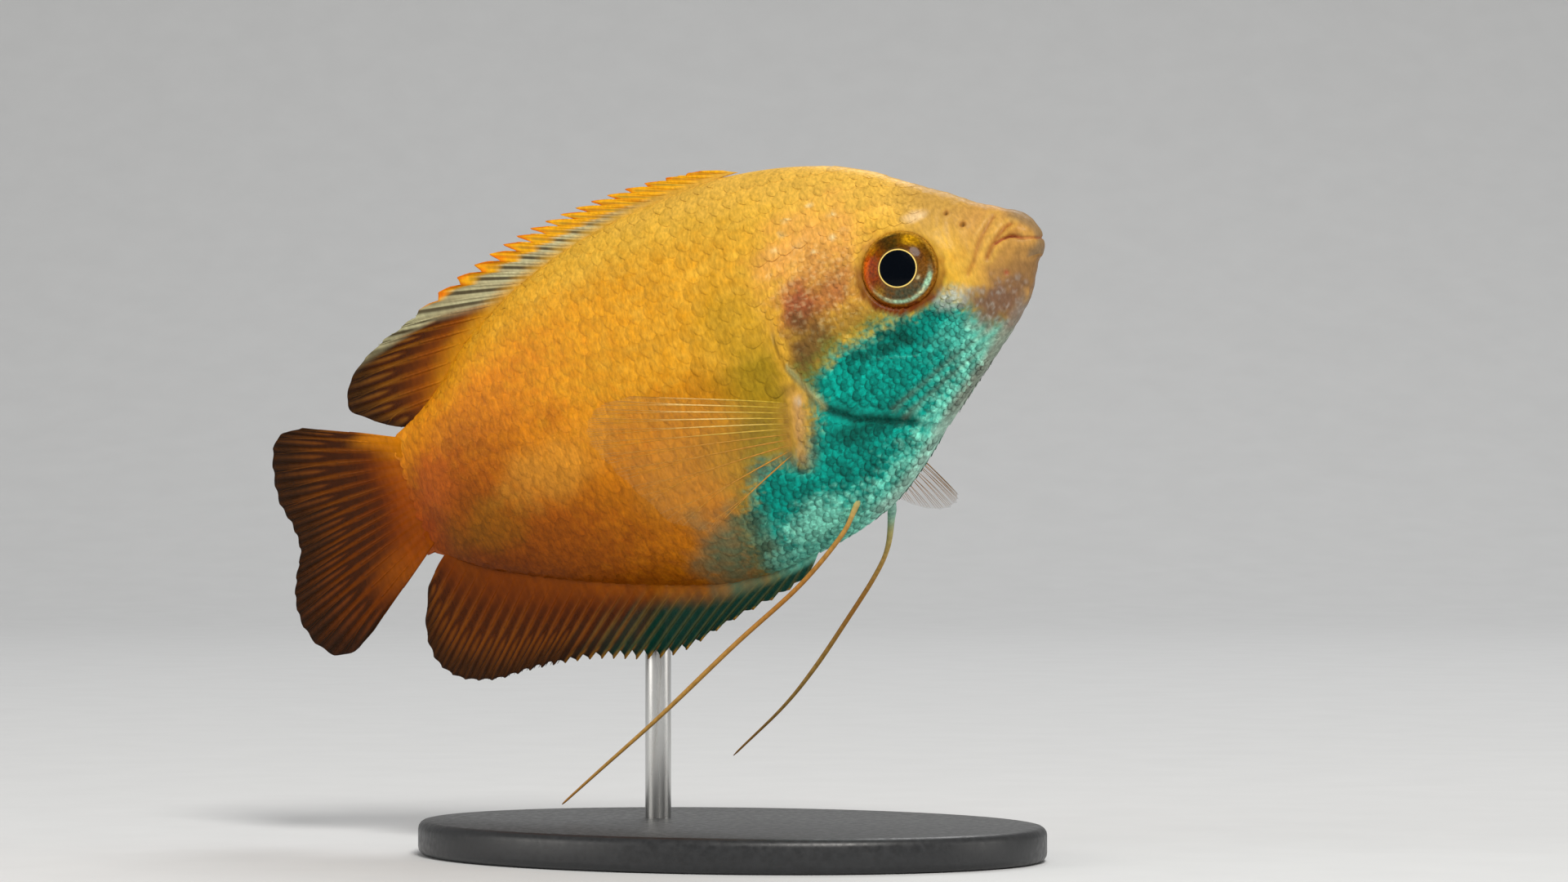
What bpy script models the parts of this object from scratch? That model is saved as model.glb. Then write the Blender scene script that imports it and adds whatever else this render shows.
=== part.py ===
"""Honey gourami: one male, life size and still, held on a plain display stand.

Sizes are in millimetres. The fish is first shaped straight: back runs from the tip of the snout to
the tail, side towards the fish's left and up towards its ridge. posed() then swings the tail, lifts
the nose and sets the fish over its stand, in metres, with +X where the snout points and +Z up.
"""

import bisect
import functools
import math

import bmesh
import bpy
import numpy as np
from mathutils import Matrix, Vector

MM = 0.001
GAP = 0.3  # between nodes that touch
CREASE = math.radians(35)
ROOT_GAP = 0.35  # from a faceted body to the true curve of a fin's root

# Pose
NOSE_UP = math.radians(20.2)
BEND_START = 18.0
BEND_RADIUS = 105.0
POSE_STATION = 20.0  # this station of the fish stands over the middle of the base
POSE_HEIGHT = 28.0

# Body, as (distance behind the snout, size) pairs
BODY_LENGTH = 42.3
RIDGE = [
    (0.0, 0.1), (0.3, 1.45), (1.1, 2.4), (2.1, 3.15), (3.0, 3.7), (4.3, 4.75), (6.0, 5.9), (8.4, 7.6),
    (11.0, 8.85), (14.0, 9.9), (17.0, 10.45), (21.0, 10.55), (25.0, 10.35), (29.0, 9.7), (33.0, 8.5),
    (36.0, 7.3), (39.0, 5.6), (42.3, 4.0),
]
KEEL = [
    (0.0, 0.1), (0.3, -0.75), (0.9, -1.15), (1.4, -1.6), (2.0, -2.5), (3.4, -3.95), (5.9, -5.75),
    (8.6, -7.6), (11.0, -9.4), (13.0, -10.6), (15.5, -11.4), (18.5, -11.85), (21.5, -12.0),
    (24.5, -11.6), (28.0, -10.45), (32.0, -8.9), (36.0, -7.1), (39.5, -5.3), (42.3, -3.4),
]
HALF_WIDTH = [
    (0.0, 0.0), (0.3, 0.8), (1.0, 1.2), (2.0, 1.5), (4.0, 2.1), (6.0, 2.65), (8.0, 3.05), (10.5, 3.4),
    (13.0, 3.6), (16.0, 3.7), (19.0, 3.65), (23.0, 3.4), (27.0, 2.9), (31.0, 2.35), (35.0, 1.8),
    (38.0, 1.35), (40.5, 0.95), (42.3, 0.4),
]
WIDEST_LEVEL = [
    (0.0, 0.1), (2.0, 0.3), (5.0, 0.6), (8.0, 0.5), (12.0, -0.3), (16.0, -1.3), (22.0, -1.8), (28.0, -0.9),
    (35.0, 0.0), (42.3, 0.3),
]
RIDGE_TAPER = [(0.0, 0.9), (6.0, 0.95), (14.0, 1.1), (25.0, 1.3), (42.3, 1.2)]
KEEL_TAPER = [(0.0, 0.9), (8.0, 1.05), (16.0, 1.1), (22.0, 1.35), (35.0, 1.35), (42.3, 1.2)]
RINGS, AROUND = 62, 44
RING_CROWDING = 1.35  # rings lie closer towards the snout

# Head, in the side view as (back, up) pairs
GILL_OPENING = [
    (12.9, 11.5), (13.1, 7.2), (14.3, 3.75), (15.2, 2.1), (15.6, 0.7), (15.75, -0.5), (15.5, -1.8),
    (14.95, -3.1), (14.3, -4.5), (12.8, -5.75), (10.1, -6.9), (8.2, -8.0), (7.6, -9.5),
]
GILL_COVER_RISE, GILL_COVER_FADE = 0.3, 2.6
MOUTH_LINE = [(-0.4, 0.15), (0.4, 0.52), (1.0, 0.77), (1.6, 0.88), (2.2, 0.7), (2.65, 0.25)]
MOUTH_SLOT = 0.2
MOUTH_CORE = ((4.6, 0.0, 0.3), (4.05, 1.75, 2.6))  # centre and half sizes of what the slot spares
LIP_RISE, LIP_REACH = 0.16, 0.5
NOSTRILS = [(4.4, 3.4, 0.2), (3.6, 2.5, 0.23)]
NOSTRIL_DEPTH = 0.5

EYE_BACK, EYE_UP = 7.56, 1.3
EYE_RADIUS, EYE_DEPTH, EYE_SINK = 2.3, 1.15, 0.45
SOCKET_CLEAR = 0.33  # to the eye, at the corners of both

STALK_START = 36.0
FAR = 30.0  # clear of the fish, for the sides of cutters

# Fins
MEMBRANE, RAY = 0.5, 0.9  # thickness at the root
MEMBRANE_MARGIN, RAY_MARGIN = 0.36, 0.6
DORSAL = {
    "start": 17.0, "end": 40.9, "rays": 25, "rows": 3,
    "sweep": [(0.0, 22.0), (0.25, 22.0), (0.6, 19.5), (0.8, 13.5), (1.0, 19.0)],
    "length": [(0.0, 1.2), (0.12, 2.6), (0.35, 3.5), (0.6, 4.2), (0.8, 6.2), (0.92, 6.5), (1.0, 3.9)],
    "notch": [(0.0, 0.3), (0.2, 0.5), (0.55, 0.45), (0.75, 0.2), (1.0, 0.1)],
}
ANAL = {
    "start": 19.2, "end": 42.0, "rays": 32, "rows": 4,
    "sweep": [(0.0, -42.0), (0.1, -26.0), (0.25, -29.0), (0.6, -33.0), (0.85, -38.0), (1.0, -50.0)],
    "length": [(0.0, 0.9), (0.08, 2.2), (0.2, 4.4), (0.5, 5.1), (0.75, 7.0), (0.88, 7.1), (1.0, 5.0)],
    "notch": [(0.0, 0.3), (0.1, 0.45), (0.5, 0.35), (0.7, 0.15), (1.0, 0.1)],
}
CAUDAL = {
    "top": 4.2, "bottom": -3.25, "rays": 17, "rows": 7,
    "sweep": [(0.0, 20.0), (0.3, 9.0), (0.5, -1.0), (0.7, -11.0), (1.0, -26.0)],
    "length": [(0.0, 8.4), (0.12, 10.5), (0.3, 11.0), (0.5, 9.0), (0.7, 10.8), (0.88, 11.1), (1.0, 8.4)],
    "notch": [(0.0, 0.1), (1.0, 0.1)],
}
FIN_WAVE, FIN_WAVES = 0.3, 1.1  # height, and how many along a fin
PECTORAL = {
    "top": (15.3, -3.75), "bottom": (16.8, -6.75), "rays": 11, "rows": 6,
    "notch": [(0.0, 0.15), (1.0, 0.15)],
}
PECTORAL_CLEAR = 0.42  # from the skin to the fin's root, besides its half thickness
# The tips of the first to the last ray, as (share, back, side, up), and how far the rays arch out and up
RIGHT_TIPS = [
    (0.0, 23.6, -6.9, -0.35), (0.12, 25.1, -7.3, -0.25), (0.25, 25.9, -7.5, -0.65),
    (0.5, 26.4, -7.45, -2.2), (0.65, 25.85, -7.25, -3.7), (0.8, 24.95, -6.9, -5.7),
    (0.9, 23.9, -6.5, -7.8), (1.0, 22.1, -6.0, -9.25),
]
LEFT_TIPS = [
    (0.0, 12.8, 10.3, -10.5), (0.2, 13.8, 12.6, -10.65), (0.35, 15.0, 14.1, -10.6),
    (0.55, 16.7, 14.6, -9.85), (0.75, 18.3, 14.2, -8.3), (1.0, 19.4, 11.2, -6.6),
]
RIGHT_ARCH, LEFT_ARCH = (0.5, 0.0), (0.5, 0.9)

# Feelers, the thread-like pelvic fins, as (back, up, side) points from root to tip
FEELER_RIGHT = [
    (14.6, -11.26, -1.25), (16.7, -12.05, -1.75), (19.6, -13.4, -2.1), (24.1, -15.2, -2.7),
    (29.5, -17.5, -3.3), (34.3, -19.3, -3.8), (36.9, -20.25, -4.0),
]
FEELER_LEFT = [
    (13.9, -11.02, 1.2), (15.3, -12.7, 2.1), (17.0, -14.0, 2.9), (19.6, -15.5, 3.9), (23.3, -17.4, 5.3),
    (27.0, -18.8, 6.8), (32.4, -20.15, 9.0),
]
FEELER_RADIUS, FEELER_TIP_RADIUS, FEELER_TIP_SHARE = 0.27, 0.12, 0.3
FEELER_POINTS = 17  # in each of its two lengths
FEELER_PARTING = 0.5

# Stand
BASE_LENGTH, BASE_WIDTH, BASE_THICKNESS, BASE_BEVEL = 37.0, 27.0, 2.0, 0.5
BASE_SIDES, ROD_SIDES = 56, 20
ROD_BACK, ROD_SIDE, ROD_RADIUS = 26.4, 2.3, 0.75

COLOURS = {
    "skin": ((0.78, 0.42, 0.07, 1.0), 0.42, 0.0),
    "fin": ((0.52, 0.24, 0.05, 1.0), 0.45, 0.0),
    "feeler": ((0.80, 0.50, 0.16, 1.0), 0.4, 0.0),
    "eye": ((0.05, 0.04, 0.03, 1.0), 0.08, 0.0),
    "stand_base": ((0.03, 0.03, 0.032, 1.0), 0.4, 0.0),
    "stand_rod": ((0.6, 0.6, 0.6, 1.0), 0.25, 1.0),
}

for old in list(bpy.data.objects):
    bpy.data.objects.remove(old)
FISH = bpy.data.collections.new("honey_gourami")
CUTTERS = bpy.data.collections.new("cutters")
for group in (FISH, CUTTERS):
    bpy.context.scene.collection.children.link(group)


@functools.lru_cache(maxsize=None)
def prepared(table, rooted):
    """A table's places, sizes and slopes, with the places' square roots where rooted."""
    places, sizes = np.array(table, float).T
    if rooted:
        places = np.sqrt(places)
    return places.tolist(), sizes.tolist(), np.gradient(sizes, places).tolist()


def smooth(table, place, rooted=False):
    """The table's size at a place, on a cubic through every pair."""
    places, sizes, slopes = prepared(tuple(table), rooted)
    place = min(max(place, places[0]), places[-1])
    i = min(max(bisect.bisect(places, place) - 1, 0), len(places) - 2)
    span = places[i + 1] - places[i]
    t = (place - places[i]) / span
    start = sizes[i] * (1 + 2 * t) * (1 - t) ** 2 + span * slopes[i] * t * (1 - t) ** 2
    return start + sizes[i + 1] * t * t * (3 - 2 * t) + span * slopes[i + 1] * t * t * (t - 1)


def along_body(table, back):
    """As smooth(), with the first millimetres stretched so that the snout comes out round."""
    return smooth(table, math.sqrt(max(back, 0.0)), rooted=True)


def posed(back, side, up):
    """A point of the straight fish, in millimetres, where it stands in the model, in metres."""
    past = max(back - BEND_START, 0.0) / BEND_RADIUS
    ahead = POSE_STATION - min(back, BEND_START) - BEND_RADIUS * math.sin(past) + side * math.sin(past)
    across = BEND_RADIUS * (1 - math.cos(past)) + side * math.cos(past)
    along = ahead * math.cos(NOSE_UP) - up * math.sin(NOSE_UP)
    height = ahead * math.sin(NOSE_UP) + up * math.cos(NOSE_UP)
    return Vector((along, across, POSE_HEIGHT + height)) * MM


def distance_to(line, back, up):
    """The distance in the side view from a point to a line through some points."""
    best = math.inf
    for (b0, u0), (b1, u1) in zip(line, line[1:]):
        step = Vector((b1 - b0, u1 - u0))
        t = Vector((back - b0, up - u0)).dot(step) / step.length_squared
        near = Vector((b0, u0)) + step * min(max(t, 0.0), 1.0)
        best = min(best, (Vector((back, up)) - near).length)
    return best


def relief(back, up):
    """How far the gill covers and lips stand out of the head's plain form."""
    cover = GILL_COVER_RISE * math.exp(-distance_to(GILL_OPENING[2:11], back, up) / GILL_COVER_FADE)
    lips = LIP_RISE * math.exp(-((distance_to(MOUTH_LINE, back, up) / LIP_REACH) ** 2))
    return cover + lips


def section_point(back, turn, raised):
    """A point of the body's section at a station, turn radians round from its left side."""
    level = along_body(WIDEST_LEVEL, back)
    upper = math.sin(turn) > 0
    end = along_body(RIDGE if upper else KEEL, back)
    taper = along_body(RIDGE_TAPER if upper else KEEL_TAPER, back)
    outward = abs(math.cos(turn)) ** taper
    up = level + (end - level) * abs(math.sin(turn))
    side = along_body(HALF_WIDTH, back) * outward
    if raised and back > 0:
        side += relief(back, up) * min(1.0, outward * 2)
    return Vector((back, math.copysign(side, math.cos(turn)), up))


def flank(back, up):
    """The plain body's half width at a station and height."""
    level = along_body(WIDEST_LEVEL, back)
    upper = up > level
    end = along_body(RIDGE if upper else KEEL, back)
    taper = along_body(RIDGE_TAPER if upper else KEEL_TAPER, back)
    share = min(max((up - level) / (end - level), 0.0), 1.0)
    return along_body(HALF_WIDTH, back) * math.sqrt(1 - share * share) ** taper


def flank_normal(back, up, hand):
    """The outward direction of the flank, on the left where hand is 1 and on the right where -1."""
    step = 0.2
    by_back = (flank(back + step, up) - flank(back - step, up)) / (2 * step)
    by_up = (flank(back, up + step) - flank(back, up - step)) / (2 * step)
    return Vector((-by_back, hand, -by_up)).normalized()


def new_object(name, mesh, collection):
    """An object of a bmesh, which it frees."""
    data = bpy.data.meshes.new(name)
    mesh.to_mesh(data)
    mesh.free()
    obj = bpy.data.objects.new(name, data)
    collection.objects.link(obj)
    return obj


def helper(name, mesh):
    """A cutter or a guide, which isn't part of the model."""
    obj = new_object(name, mesh, CUTTERS)
    obj.hide_render = True
    obj.display_type = "WIRE"
    return obj


def face_outwards(mesh):
    mesh.normal_update()
    bmesh.ops.recalc_face_normals(mesh, faces=mesh.faces)
    mesh.normal_update()


def side_prism(name, outline, half_depth):
    """A side-view outline extruded across the fish."""
    data = bpy.data.curves.new(name, "CURVE")
    data.dimensions = "2D"
    data.fill_mode = "BOTH"
    data.extrude = half_depth
    spline = data.splines.new("POLY")
    spline.points.add(len(outline) - 1)
    for point, (back, up) in zip(spline.points, outline):
        point.co = (back, up, 0, 1)
    spline.use_cyclic_u = True
    guide = bpy.data.objects.new(name + "_outline", data)
    CUTTERS.objects.link(guide)
    graph = bpy.context.evaluated_depsgraph_get()
    mesh = bmesh.new()
    mesh.from_mesh(bpy.data.meshes.new_from_object(guide.evaluated_get(graph)))
    bpy.data.objects.remove(guide)
    bmesh.ops.remove_doubles(mesh, verts=mesh.verts, dist=0.001)
    bmesh.ops.rotate(mesh, verts=mesh.verts, matrix=Matrix.Rotation(math.pi / 2, 3, "X"))
    face_outwards(mesh)
    return helper(name, mesh)


def offset_line(line, distance):
    """The line moved sideways in the side view, towards the left of its own direction."""
    moved = []
    for i, (back, up) in enumerate(line):
        b0, u0 = line[max(i - 1, 0)]
        b1, u1 = line[min(i + 1, len(line) - 1)]
        run = math.hypot(b1 - b0, u1 - u0)
        moved.append((back - distance * (u1 - u0) / run, up + distance * (b1 - b0) / run))
    return moved


def rectangle(b0, b1, u0, u1):
    return [(b0, u0), (b1, u0), (b1, u1), (b0, u1)]


def boolean(obj, cutter, operation):
    """Cuts obj with cutter or keeps what they share, and applies it."""
    modifier = obj.modifiers.new(operation.title(), "BOOLEAN")
    modifier.operation = operation
    modifier.object = cutter
    graph = bpy.context.evaluated_depsgraph_get()
    made = bpy.data.meshes.new_from_object(obj.evaluated_get(graph))
    obj.modifiers.clear()
    obj.data = made


def keep_largest(obj):
    """Removes all but the object's largest connected surface."""
    mesh = bmesh.new()
    mesh.from_mesh(obj.data)
    left, groups = set(mesh.verts), []
    while left:
        group, edge = set(), {left.pop()}
        while edge:
            group |= edge
            edge = {e.other_vert(v) for v in edge for e in v.link_edges} - group
        left -= group
        groups.append(group)
    largest = max(groups, key=len)
    bmesh.ops.delete(mesh, geom=[v for v in mesh.verts if v not in largest], context="VERTS")
    mesh.to_mesh(obj.data)
    mesh.free()


def set_in_pose(obj):
    """Moves an object that was shaped straight into the pose."""
    mesh = bmesh.new()
    mesh.from_mesh(obj.data)
    bmesh.ops.triangulate(mesh, faces=mesh.faces)
    for vertex in mesh.verts:
        vertex.co = posed(*vertex.co)
    face_outwards(mesh)
    mesh.to_mesh(obj.data)
    mesh.free()


def dress(obj, slot):
    """Gives an object the material of its slot, and smooth shading between its creases."""
    material = bpy.data.materials.get(slot)
    if material is None:
        colour, roughness, metallic = COLOURS[slot]
        material = bpy.data.materials.new(slot)
        material.use_nodes = True
        shader = material.node_tree.nodes["Principled BSDF"]
        shader.inputs["Base Color"].default_value = colour
        shader.inputs["Roughness"].default_value = roughness
        shader.inputs["Metallic"].default_value = metallic
        material.diffuse_color = colour
    obj.data.materials.clear()
    obj.data.materials.append(material)
    if obj.type == "MESH":
        obj.data.shade_smooth()
        obj.data.set_sharp_from_angle(angle=CREASE)


def body_mesh(raised, swell=0.0):
    """The whole body as one closed form, shaped from a sphere whose poles are snout and tail root."""
    mesh = bmesh.new()
    bmesh.ops.create_uvsphere(mesh, u_segments=AROUND, v_segments=RINGS, radius=1)
    for vertex in mesh.verts:
        share = math.acos(min(max(vertex.co.z, -1.0), 1.0)) / math.pi
        share = min(share * RINGS / (RINGS - 1), 1.0)
        back = BODY_LENGTH * share**RING_CROWDING
        if math.hypot(vertex.co.x, vertex.co.y) < 1e-4:
            vertex.co = Vector((back, 0.0, along_body(WIDEST_LEVEL, back)))
        else:
            vertex.co = section_point(back, math.atan2(vertex.co.y, vertex.co.x), raised)
    face_outwards(mesh)
    for vertex, normal in [(v, v.normal.copy()) for v in mesh.verts]:
        vertex.co += normal * swell
    return mesh


def ball_mesh(centre, half_sizes, facing=Vector((0, 0, 1)), segments=22, rings=12):
    """A ball of three half sizes, whose third one lies along facing."""
    mesh = bmesh.new()
    bmesh.ops.create_uvsphere(mesh, u_segments=segments, v_segments=rings, radius=1)
    bmesh.ops.scale(mesh, verts=mesh.verts, vec=half_sizes)
    bmesh.ops.rotate(mesh, verts=mesh.verts, matrix=facing.to_track_quat("Z", "Y").to_matrix())
    bmesh.ops.translate(mesh, verts=mesh.verts, vec=centre)
    face_outwards(mesh)
    return mesh


def cut_mouth(head):
    """The thin slot between the lips, round the snout from corner to corner."""
    upper = offset_line(MOUTH_LINE, MOUTH_SLOT / 2)
    lower = offset_line(MOUTH_LINE, -MOUTH_SLOT / 2)
    slot = side_prism("mouth_slot", upper[:-1] + [MOUTH_LINE[-1]] + lower[-2::-1], FAR)
    boolean(slot, helper("mouth_core", ball_mesh(*MOUTH_CORE, segments=32, rings=20)), "DIFFERENCE")
    boolean(head, slot, "DIFFERENCE")


def cut_nostrils(head, hand):
    for i, (back, up, radius) in enumerate(NOSTRILS):
        skin = Vector((back, hand * flank(back, up), up))
        facing = flank_normal(back, up, hand)
        pit = ball_mesh(skin, (radius, radius, NOSTRIL_DEPTH), facing, segments=8, rings=6)
        boolean(head, helper(f"nostril_{hand}_{i}", pit), "DIFFERENCE")


def make_eye(head, hand):
    """An eye, and its socket in the head, a gap wider than it all round."""
    facing = flank_normal(EYE_BACK, EYE_UP, hand)
    centre = Vector((EYE_BACK, hand * flank(EYE_BACK, EYE_UP), EYE_UP)) - facing * EYE_SINK
    sizes = Vector((EYE_RADIUS, EYE_RADIUS, EYE_DEPTH))
    socket = ball_mesh(centre, sizes + SOCKET_CLEAR * Vector((1, 1, 1)), facing)
    boolean(head, helper(f"socket_{hand}", socket), "DIFFERENCE")
    eye = new_object("eye_left" if hand > 0 else "eye_right", ball_mesh(centre, sizes, facing), FISH)
    set_in_pose(eye)
    dress(eye, "eye")


def make_body():
    """Head, trunk and tail stalk, parted by thin cuts along the gill opening and before the tail."""
    ahead = [(-FAR, -FAR), (-FAR, FAR)]
    before = GILL_OPENING + [(GILL_OPENING[-1][0], -FAR)] + ahead
    behind = offset_line(GILL_OPENING, GAP)
    head = new_object("head", body_mesh(True), FISH)
    boolean(head, side_prism("head_zone", before, FAR), "INTERSECT")
    cut_mouth(head)
    for hand in (1, -1):
        cut_nostrils(head, hand)
        make_eye(head, hand)
    trunk = new_object("trunk", body_mesh(False), FISH)
    zone = side_prism("trunk_front", behind + [(behind[-1][0], -FAR)] + ahead, FAR)
    boolean(trunk, zone, "DIFFERENCE")
    zone = side_prism("trunk_rear", rectangle(STALK_START, 2 * FAR, -FAR, FAR), FAR)
    boolean(trunk, zone, "DIFFERENCE")
    stalk = new_object("tail_stalk", body_mesh(False), FISH)
    zone = side_prism("stalk_zone", rectangle(STALK_START + GAP, 2 * FAR, -FAR, FAR), FAR)
    boolean(stalk, zone, "INTERSECT")
    for obj in (head, trunk, stalk):
        keep_largest(obj)
        set_in_pose(obj)
        dress(obj, "skin")


def fin_sheet(name, fin, point):
    """A fin from its rays: an open sheet with a raised ray at every other column, then made solid.

    point(share, out, notch) gives the place at that share of the row of rays, and at the share out of
    the ray, whose tip is drawn in by notch.
    """
    columns, rows = 2 * (fin["rays"] - 1), fin["rows"]
    mesh = bmesh.new()
    bmesh.ops.create_grid(mesh, x_segments=columns, y_segments=rows, size=1)
    layer = mesh.verts.layers.deform.verify()
    for vertex in mesh.verts:
        column = round((vertex.co.x + 1) / 2 * columns)
        out = (vertex.co.y + 1) / 2
        share = column / columns
        on_ray = column % 2 == 0
        vertex.co = point(share, out, 0.0 if on_ray else smooth(fin["notch"], share))
        root, margin = (RAY, RAY_MARGIN) if on_ray else (MEMBRANE, MEMBRANE_MARGIN)
        vertex[layer][0] = root + (margin - root) * out
    bmesh.ops.triangulate(mesh, faces=mesh.faces, quad_method="FIXED")
    obj = new_object(name, mesh, FISH)
    obj.vertex_groups.new(name="thickness")
    solid = obj.modifiers.new("Solidify", "SOLIDIFY")
    solid.thickness = MM
    solid.offset = 0
    solid.vertex_group = "thickness"
    dress(obj, "fin")


def swept_ray(fin, root_back, root_up, share, out, notch):
    """A place on a ray of a fin on the body's middle line."""
    angle = math.radians(smooth(fin["sweep"], share))
    reach = (smooth(fin["length"], share) - notch) * out
    return root_back + reach * math.cos(angle), root_up + reach * math.sin(angle)


def middle_fin(name, fin, edge, hand):
    """The dorsal fin, with hand 1, or the anal fin, with hand -1."""

    def point(share, out, notch):
        root = fin["start"] + share * (fin["end"] - fin["start"])
        back, up = swept_ray(fin, root, along_body(edge, root) + hand * ROOT_GAP, share, out, notch)
        return posed(back, FIN_WAVE * math.sin(share * FIN_WAVES * 2 * math.pi) * out * out, up)

    fin_sheet(name, fin, point)


def make_caudal():
    def point(share, out, notch):
        root_up = CAUDAL["top"] + share * (CAUDAL["bottom"] - CAUDAL["top"])
        back, up = swept_ray(CAUDAL, BODY_LENGTH + GAP, root_up, share, out, notch)
        return posed(back, FIN_WAVE * math.sin(share * FIN_WAVES * 2 * math.pi) * out * out, up)

    fin_sheet("tail_fin", CAUDAL, point)


def make_pectoral(name, hand, tips, arch):
    """A pectoral fin, whose rays run from the line of its root to their own tips."""
    top, bottom = (Vector((b, hand * flank(b, u), u)) for b, u in (PECTORAL["top"], PECTORAL["bottom"]))
    outward = flank_normal((top.x + bottom.x) / 2, (top.z + bottom.z) / 2, hand)
    ends = [[(share, place[i]) for share, *place in tips] for i in range(3)]
    blade = Vector([smooth(end, 0.5) for end in ends]) - top.lerp(bottom, 0.5)
    edge_on = blade.normalized().dot(outward)
    lift = outward * (PECTORAL_CLEAR + RAY / 2 * math.sqrt(1 - edge_on * edge_on))

    def point(share, out, notch):
        root = top.lerp(bottom, share) + lift
        tip = Vector([smooth(end, share) for end in ends])
        tip -= (tip - root).normalized() * notch
        bow = Vector((0, hand * arch[0], arch[1])) * 4 * out * (1 - out)
        return posed(*(root.lerp(tip, out) + bow))

    fin_sheet(name, PECTORAL, point)


def make_feeler(name, route):
    """A feeler in two lengths, each a tube that thins towards the tip."""
    shares = np.linspace(0, 1, len(route))
    tables = [list(zip(shares, values)) for values in zip(*route)]

    def place(share):
        back, up, side = (smooth(table, share) for table in tables)
        return posed(back, side, up)

    steps = np.linspace(0, 1, 200)
    length = sum((place(b) - place(a)).length for a, b in zip(steps, steps[1:])) / MM
    spans = {"root": (0.0, FEELER_PARTING), "tip": (FEELER_PARTING + GAP / length, 1.0)}
    for label, (start, end) in spans.items():
        data = bpy.data.curves.new(f"{name}_{label}", "CURVE")
        data.dimensions = "3D"
        data.bevel_depth = FEELER_RADIUS * MM
        data.bevel_resolution = 2
        data.use_fill_caps = True
        spline = data.splines.new("POLY")
        spline.points.add(FEELER_POINTS - 1)
        for point, share in zip(spline.points, np.linspace(start, end, FEELER_POINTS)):
            thinning = max(0.0, (share - 1 + FEELER_TIP_SHARE) / FEELER_TIP_SHARE)
            point.co = (*place(share), 1)
            point.radius = 1 + (FEELER_TIP_RADIUS / FEELER_RADIUS - 1) * thinning
        obj = bpy.data.objects.new(f"{name}_{label}", data)
        FISH.objects.link(obj)
        dress(obj, "feeler")


def upright(name, radius_x, radius_y, foot, top, sides):
    """An upright round piece; foot is the middle of its lower face."""
    mesh = bmesh.new()
    bmesh.ops.create_cone(mesh, cap_ends=True, segments=sides, radius1=1, radius2=1, depth=1)
    bmesh.ops.translate(mesh, verts=mesh.verts, vec=(0, 0, 0.5))
    bmesh.ops.scale(mesh, verts=mesh.verts, vec=(radius_x, radius_y, top - foot.z))
    bmesh.ops.translate(mesh, verts=mesh.verts, vec=foot)
    bmesh.ops.scale(mesh, verts=mesh.verts, vec=(MM, MM, MM))
    return new_object(name, mesh, FISH)


def make_stand():
    """A flat oval base, and a rod up to the left of the belly, cut to the body's shape."""
    base = upright("stand_base", BASE_LENGTH / 2, BASE_WIDTH / 2, Vector(), BASE_THICKNESS, BASE_SIDES)
    bevel = base.modifiers.new("Bevel", "BEVEL")
    bevel.width = BASE_BEVEL * MM
    bevel.segments = 2
    dress(base, "stand_base")

    inside = posed(ROD_BACK, ROD_SIDE, along_body(WIDEST_LEVEL, ROD_BACK)) / MM
    foot = Vector((inside.x, inside.y, BASE_THICKNESS + GAP))
    rod = upright("stand_rod", ROD_RADIUS, ROD_RADIUS, foot, inside.z, ROD_SIDES)
    clear = helper("rod_clear", body_mesh(False, swell=GAP))
    set_in_pose(clear)
    boolean(rod, clear, "DIFFERENCE")
    keep_largest(rod)
    dress(rod, "stand_rod")


make_body()
middle_fin("dorsal_fin", DORSAL, RIDGE, 1)
middle_fin("anal_fin", ANAL, KEEL, -1)
make_caudal()
make_pectoral("pectoral_fin_right", -1, RIGHT_TIPS, RIGHT_ARCH)
make_pectoral("pectoral_fin_left", 1, LEFT_TIPS, LEFT_ARCH)
make_feeler("feeler_right", FEELER_RIGHT)
make_feeler("feeler_left", FEELER_LEFT)
make_stand()
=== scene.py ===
import math

import bmesh
import bpy
import numpy as np
from mathutils import Matrix, Vector, noise


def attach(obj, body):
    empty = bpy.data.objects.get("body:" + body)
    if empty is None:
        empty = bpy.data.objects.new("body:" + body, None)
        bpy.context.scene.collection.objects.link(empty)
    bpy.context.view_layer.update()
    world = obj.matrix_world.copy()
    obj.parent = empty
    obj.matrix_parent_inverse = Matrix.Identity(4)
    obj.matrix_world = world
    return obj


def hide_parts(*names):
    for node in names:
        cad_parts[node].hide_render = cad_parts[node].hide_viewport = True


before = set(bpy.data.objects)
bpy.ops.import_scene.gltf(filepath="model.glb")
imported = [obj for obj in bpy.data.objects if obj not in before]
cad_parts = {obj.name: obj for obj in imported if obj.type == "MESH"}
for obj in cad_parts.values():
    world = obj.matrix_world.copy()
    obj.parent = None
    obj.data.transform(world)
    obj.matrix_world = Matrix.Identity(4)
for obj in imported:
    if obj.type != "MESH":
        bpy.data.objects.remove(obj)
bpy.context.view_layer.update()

# A honey gourami, life size, on its stand. The fish is shaped straight, in millimetres: back runs from
# the snout to the tail, side to the fish's left, up to its ridge. posed() then sets it in the model's pose.
mm = 0.001
draw = np.random.default_rng(7)

stance = {
    "noseUp": math.radians(20.2),
    "bendStart": 18.0,
    "bendRadius": 105.0,
    "station": 20.0,
    "height": 28.0,
}

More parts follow.
